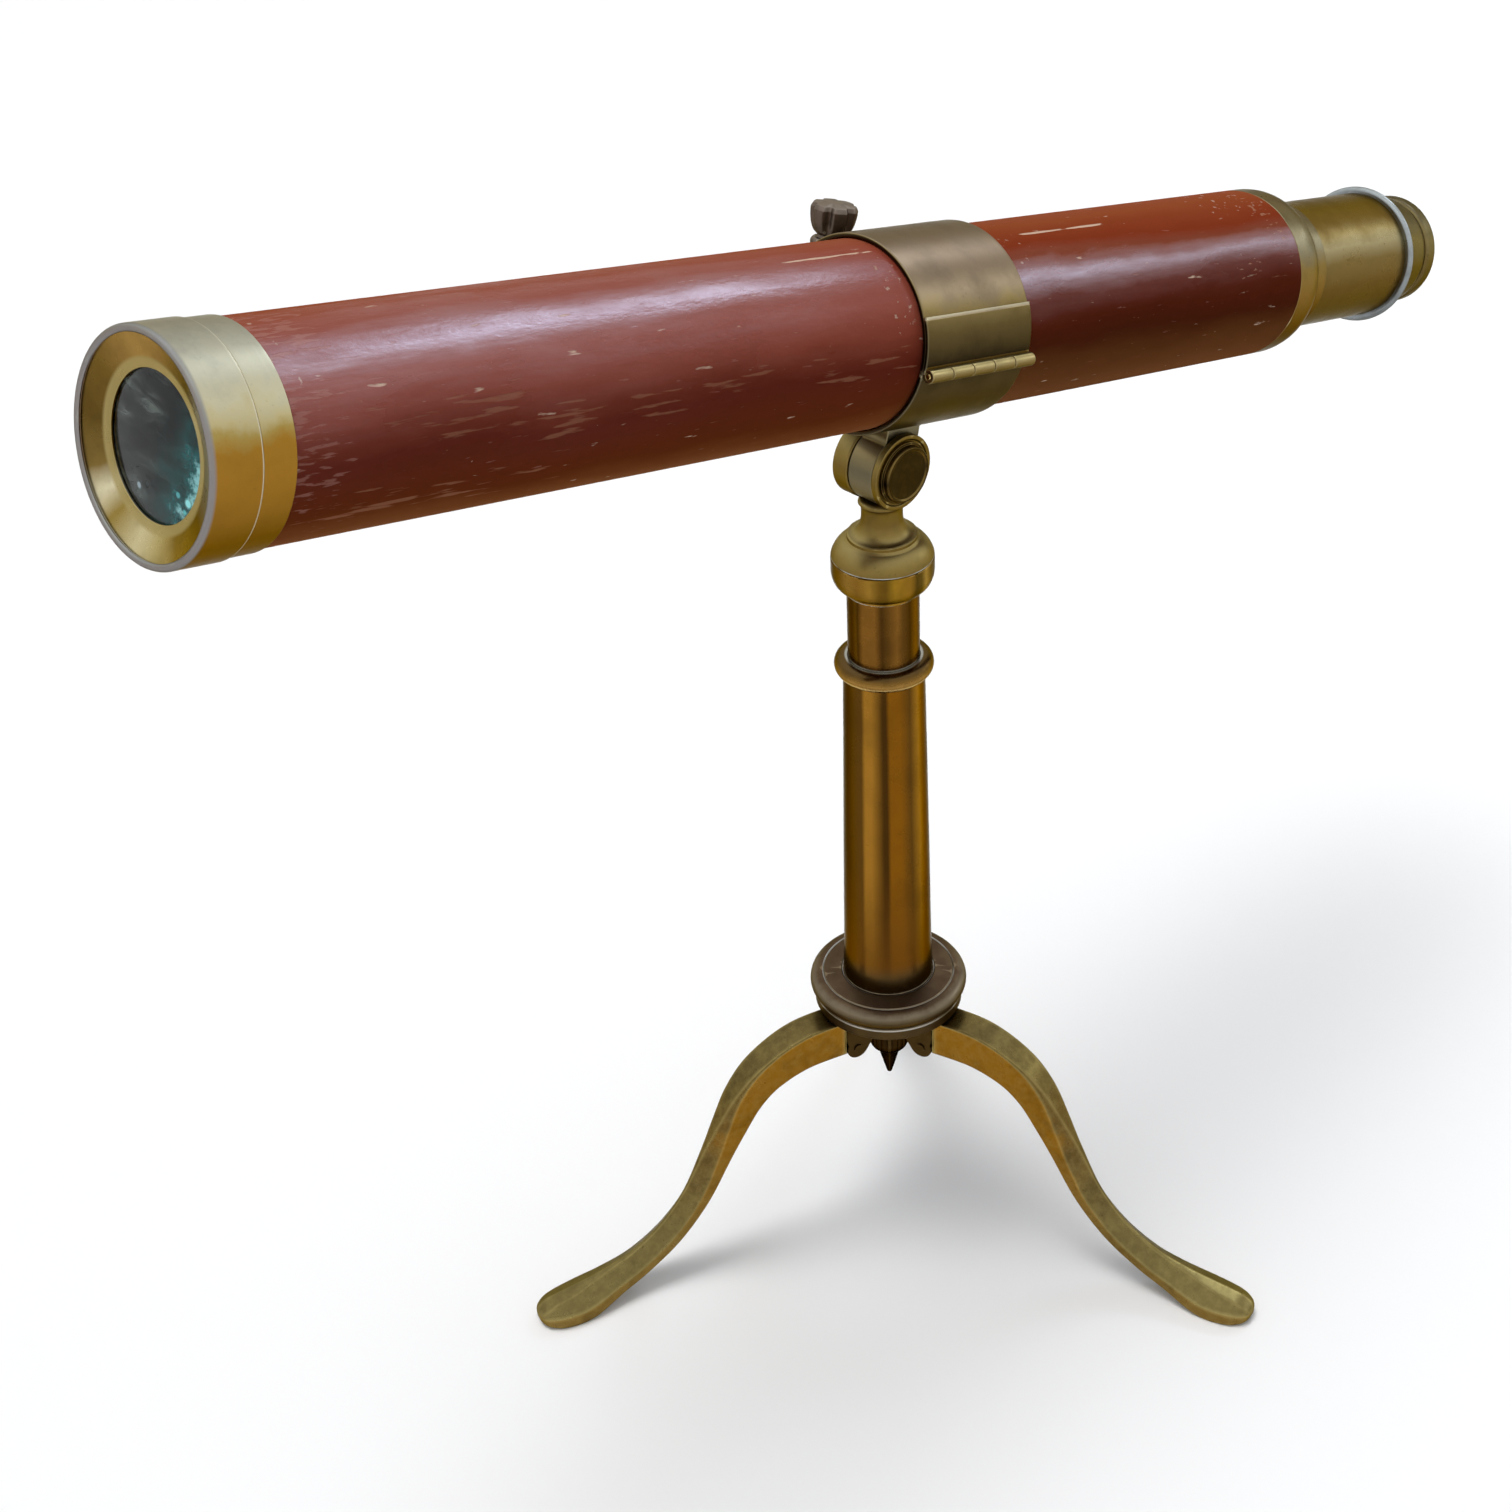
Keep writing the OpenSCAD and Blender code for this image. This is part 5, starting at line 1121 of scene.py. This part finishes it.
# drawn brass, handled and brown, with a highlight painted along its upper side, and fine marks round it
draw_brass = old_brass(
    "drawn_brass_tube_with_painted_highlight",
    facing=[(-1.0, "#55452a"), (-0.5, "#5f4d31"), (-0.1, "#69532f"), (0.3, "#7c683f"), (0.52, "#a0946f"),
            (0.7, "#85744c"), (0.85, "#735d35"), (1.0, "#67532e")],
    worn="#c2b27c", dirt="#2e2110", mottled=0.18, patch_mm=14.0, rough=0.24, pits=0.35, grain="X")
draw_outline = [
    (DRAW_BORE, FLANGE_FRONT + FIT), (DRAW_R, FLANGE_FRONT + FIT), (DRAW_R, -150.0), (DRAW_R, DRAW_FRONT),
    (DRAW_BORE, DRAW_FRONT)]
draw = piece("draw_tube_brass", [turned(draw_outline, "X", ease=0.2)], BARREL_FRAME, "draw", "draw_tube")
draw.data.materials.append(draw_brass)
for name in ("draw_stop_ring", "erector_tube", "erector_rings", "eye_lens_ring"):
    dress(name, draw_brass)


# Eyepiece: a pale nickel-silver ring that the fingers pull, a tapered brass body screwed into it,
# and a dished cup with the hole that the eye looks through.
FLANGE_R = 25.7
FLANGE_BACK = -264.5
EYEPIECE_BACK = -282.0
EYECUP_BACK = -288.6
FLANGE_ROUND = 1.5
SOCKET_R = 22.45
SOCKET_LEN = 10.0
EYEPIECE_SEAT_R = 18.05
ERECTOR_SEAT_R = 15.15
EYEPIECE_FRONT_R = 22.0
EYEPIECE_BACK_R = 19.5
LENS_SEAT_R = 12.05
LENS_HOLE_R = 10.0
SEAT_DEPTH = 4.0
EYE_HOLE_R = 7.0
CUP_R = 20.5
CUP_ROUND = 1.6
# nickel silver gone dull: pale grey, painted lighter above and darker below, with a little warmth in its
# hollows
pale_ring = old_brass(
    "turned_nickel_silver_gone_dull",
    facing=[(-1.0, "#6c6f6d"), (0.0, "#8b9092"), (0.5, "#a4abac"), (1.0, "#969b9b")], dirt="#4b4740",
    worn="#d0d2cf", mottled=0.3, patch_mm=5.0, rough=0.26, pits=0.2, grain="X")
# turned brass of the body and cup, brown, painted lighter and a little olive above
eyepiece_brass = old_brass(
    "turned_brass_brown_with_painted_light",
    facing=[(-1.0, "#3f3420"), (0.0, "#67562f"), (0.4, "#7d7048"), (0.7, "#6a6148"), (1.0, "#57503f")],
    worn="#b3a67a", mottled=0.25, patch_mm=6.0, rough=0.27, grain="X")
pull_ring_outline = (
    [(EYEPIECE_SEAT_R, FLANGE_BACK), (FLANGE_R - FLANGE_ROUND, FLANGE_BACK)]
    + bow(FLANGE_R - FLANGE_ROUND, FLANGE_BACK + FLANGE_ROUND, FLANGE_ROUND, FLANGE_ROUND, -90, 90, 12)
    + [(SOCKET_R, FLANGE_FRONT), (SOCKET_R, FLANGE_FRONT + SOCKET_LEN),
       (EYEPIECE_SEAT_R, FLANGE_FRONT + SOCKET_LEN)])
pull_ring = piece("eyepiece_flange_ring", [turned(pull_ring_outline, "X", ease=0.2)], BARREL_FRAME, "draw",
                  "eyepiece_flange")
pull_ring.data.materials.append(pale_ring)
eyepiece_outline = [
    (ERECTOR_SEAT_R, FLANGE_BACK - FIT), (EYEPIECE_FRONT_R, FLANGE_BACK - FIT),
    (EYEPIECE_BACK_R + 1.3, EYEPIECE_BACK + 3), (EYEPIECE_BACK_R + 0.8, EYEPIECE_BACK + 2),
    (EYEPIECE_BACK_R, EYEPIECE_BACK + 1), (EYEPIECE_BACK_R, EYEPIECE_BACK), (LENS_HOLE_R, EYEPIECE_BACK),
    (LENS_HOLE_R, EYEPIECE_BACK + SEAT_DEPTH), (LENS_SEAT_R, EYEPIECE_BACK + SEAT_DEPTH),
    (LENS_SEAT_R, FLANGE_BACK - SEAT_DEPTH), (ERECTOR_SEAT_R, FLANGE_BACK - SEAT_DEPTH)]
eyepiece = piece("eyepiece_body_turned", [turned(eyepiece_outline, "X")], BARREL_FRAME, "draw",
                 "eyepiece_body")
eyecup_outline = (
    [(EYE_HOLE_R, EYECUP_BACK + 3), (CUP_R - 2 * CUP_ROUND, EYECUP_BACK)]
    + bow(CUP_R - CUP_ROUND, EYECUP_BACK + CUP_ROUND, CUP_ROUND, CUP_ROUND, -90, 0, 8)
    + bow(CUP_R - CUP_ROUND, EYEPIECE_BACK - CUP_ROUND - FIT, CUP_ROUND, CUP_ROUND, 0, 90, 8)
    + [(EYE_HOLE_R, EYEPIECE_BACK - FIT)])
eyecup = piece("eyecup_turned", [turned(eyecup_outline, "X", ease=0.4)], BARREL_FRAME, "draw", "eyecup")
for part in (eyepiece, eyecup):
    part.data.materials.append(eyepiece_brass)


# Stage: the telescope stands on a sheet of white paper, under a soft sky and two windows behind it.
# The camera stands where the photograph was taken from.
FLOOR_HALF = 6.0  # metres
PAPER_GLOW = 0.07
SKY_TOWARD = (0.145, -0.150, 0.978)
SKY_FALL = 36.0
SKY_PEAK = 13.5
SKY_LEVEL = 0.3
AIM = Vector((0, 0, 0.35))
# matt white paper: plain white to the eye, with the shadow of the stand left on it
paper, tree, shader = blank_material("white_paper_sweep")
rays = add(tree, "LightPath")
glow = add(tree, "Math", {0: rays.outputs["Is Camera Ray"], 1: rays.outputs["Is Glossy Ray"]},
           operation="MAXIMUM")
lift = add(tree, "Math", {0: glow, 1: PAPER_GLOW}, operation="MULTIPLY")
feed(shader, {"Base Color": colour("#f2f2f2"), "Roughness": 0.9, "Emission Color": (1, 1, 1, 1),
              "Emission Strength": lift})
floor_mesh = bpy.data.meshes.new("paper_floor")
corners = [(x * FLOOR_HALF, y * FLOOR_HALF, 0) for x, y in ((-1, -1), (1, -1), (1, 1), (-1, 1))]
floor_mesh.from_pydata(corners, [], [(0, 1, 2, 3)])
floor = bpy.data.objects.new("paper_floor", floor_mesh)
floor_mesh.materials.append(paper)
bpy.context.scene.collection.objects.link(floor)

world = bpy.data.worlds.new("studio")
bpy.context.scene.world = world
world.use_nodes = True
tree = world.node_tree
rays = add(tree, "LightPath")
glow = add(tree, "Math", {0: rays.outputs["Is Camera Ray"], 1: rays.outputs["Is Glossy Ray"]},
           operation="MAXIMUM")
seen_through = add(tree, "Math", {0: glow, 1: rays.outputs["Is Transmission Ray"]}, operation="MAXIMUM")
# what lights the telescope is a soft sky, brightest nearly overhead; what is seen behind it is plain white
toward = add(tree, "VectorMath", {0: add(tree, "TexCoord").outputs["Generated"], 1: SKY_TOWARD},
             operation="DOT_PRODUCT")
above = add(tree, "Math", {0: toward, 1: 0.0}, operation="MAXIMUM")
overhead = add(tree, "Math", {0: above, 1: SKY_FALL}, operation="POWER")
sky = add(tree, "Math", {0: overhead, 1: SKY_PEAK, 2: SKY_LEVEL}, operation="MULTIPLY_ADD")
level = add(tree, "Mix", {"Factor": seen_through, "A": sky, "B": 1.0}, data_type="FLOAT")
feed(tree.nodes["Background"], {"Color": (1, 1, 1, 1), "Strength": level})


def window(name, heading, height, away, wide, tall, watts, tint):
    """A soft lamp at a heading and height in degrees, looking at the middle of the telescope."""
    a, e = math.radians(heading), math.radians(height)
    at = AIM + away * Vector((math.cos(e) * math.cos(a), math.cos(e) * math.sin(a), math.sin(e)))
    data = bpy.data.lights.new(name, "AREA")
    data.shape = "RECTANGLE"
    data.size = wide
    data.size_y = tall
    data.energy = watts
    data.color = tint
    obj = bpy.data.objects.new(name, data)
    bpy.context.scene.collection.objects.link(obj)
    obj.location = at
    obj.rotation_euler = (AIM - at).to_track_quat("-Z", "Y").to_euler()


window("window_behind", heading=189, height=36, away=2.2, wide=0.6, tall=0.4, watts=5.8,
       tint=(0.78, 0.89, 1.06))
window("window_right", heading=157, height=19, away=2.2, wide=0.85, tall=0.4, watts=2.4,
       tint=(0.82, 0.91, 1.04))

# the camera, as solved from the photograph: place in metres, heading, pitch and roll in degrees
EYE = Vector((0.5555, 0.5340, 0.7409))
HEADING, PITCH, ROLL = math.radians(227.27), math.radians(-34.77), math.radians(-2.73)
forward = Vector((math.cos(HEADING) * math.cos(PITCH), math.sin(HEADING) * math.cos(PITCH),
                  math.sin(PITCH)))
right = forward.cross(Vector((0, 0, 1))).normalized()
up = right.cross(forward)
right, up = right * math.cos(ROLL) + up * math.sin(ROLL), up * math.cos(ROLL) - right * math.sin(ROLL)
camera_data = bpy.data.cameras.new("photo_camera")
camera_data.sensor_width = 36.0
camera_data.lens = 63.08
camera_data.clip_start = 0.05
camera = bpy.data.objects.new("photo_camera", camera_data)
bpy.context.scene.collection.objects.link(camera)
camera.matrix_world = Matrix(((right.x, up.x, -forward.x, EYE.x), (right.y, up.y, -forward.y, EYE.y),
                              (right.z, up.z, -forward.z, EYE.z), (0, 0, 0, 1)))
bpy.context.scene.camera = camera
bpy.context.scene.view_settings.view_transform = "Standard"
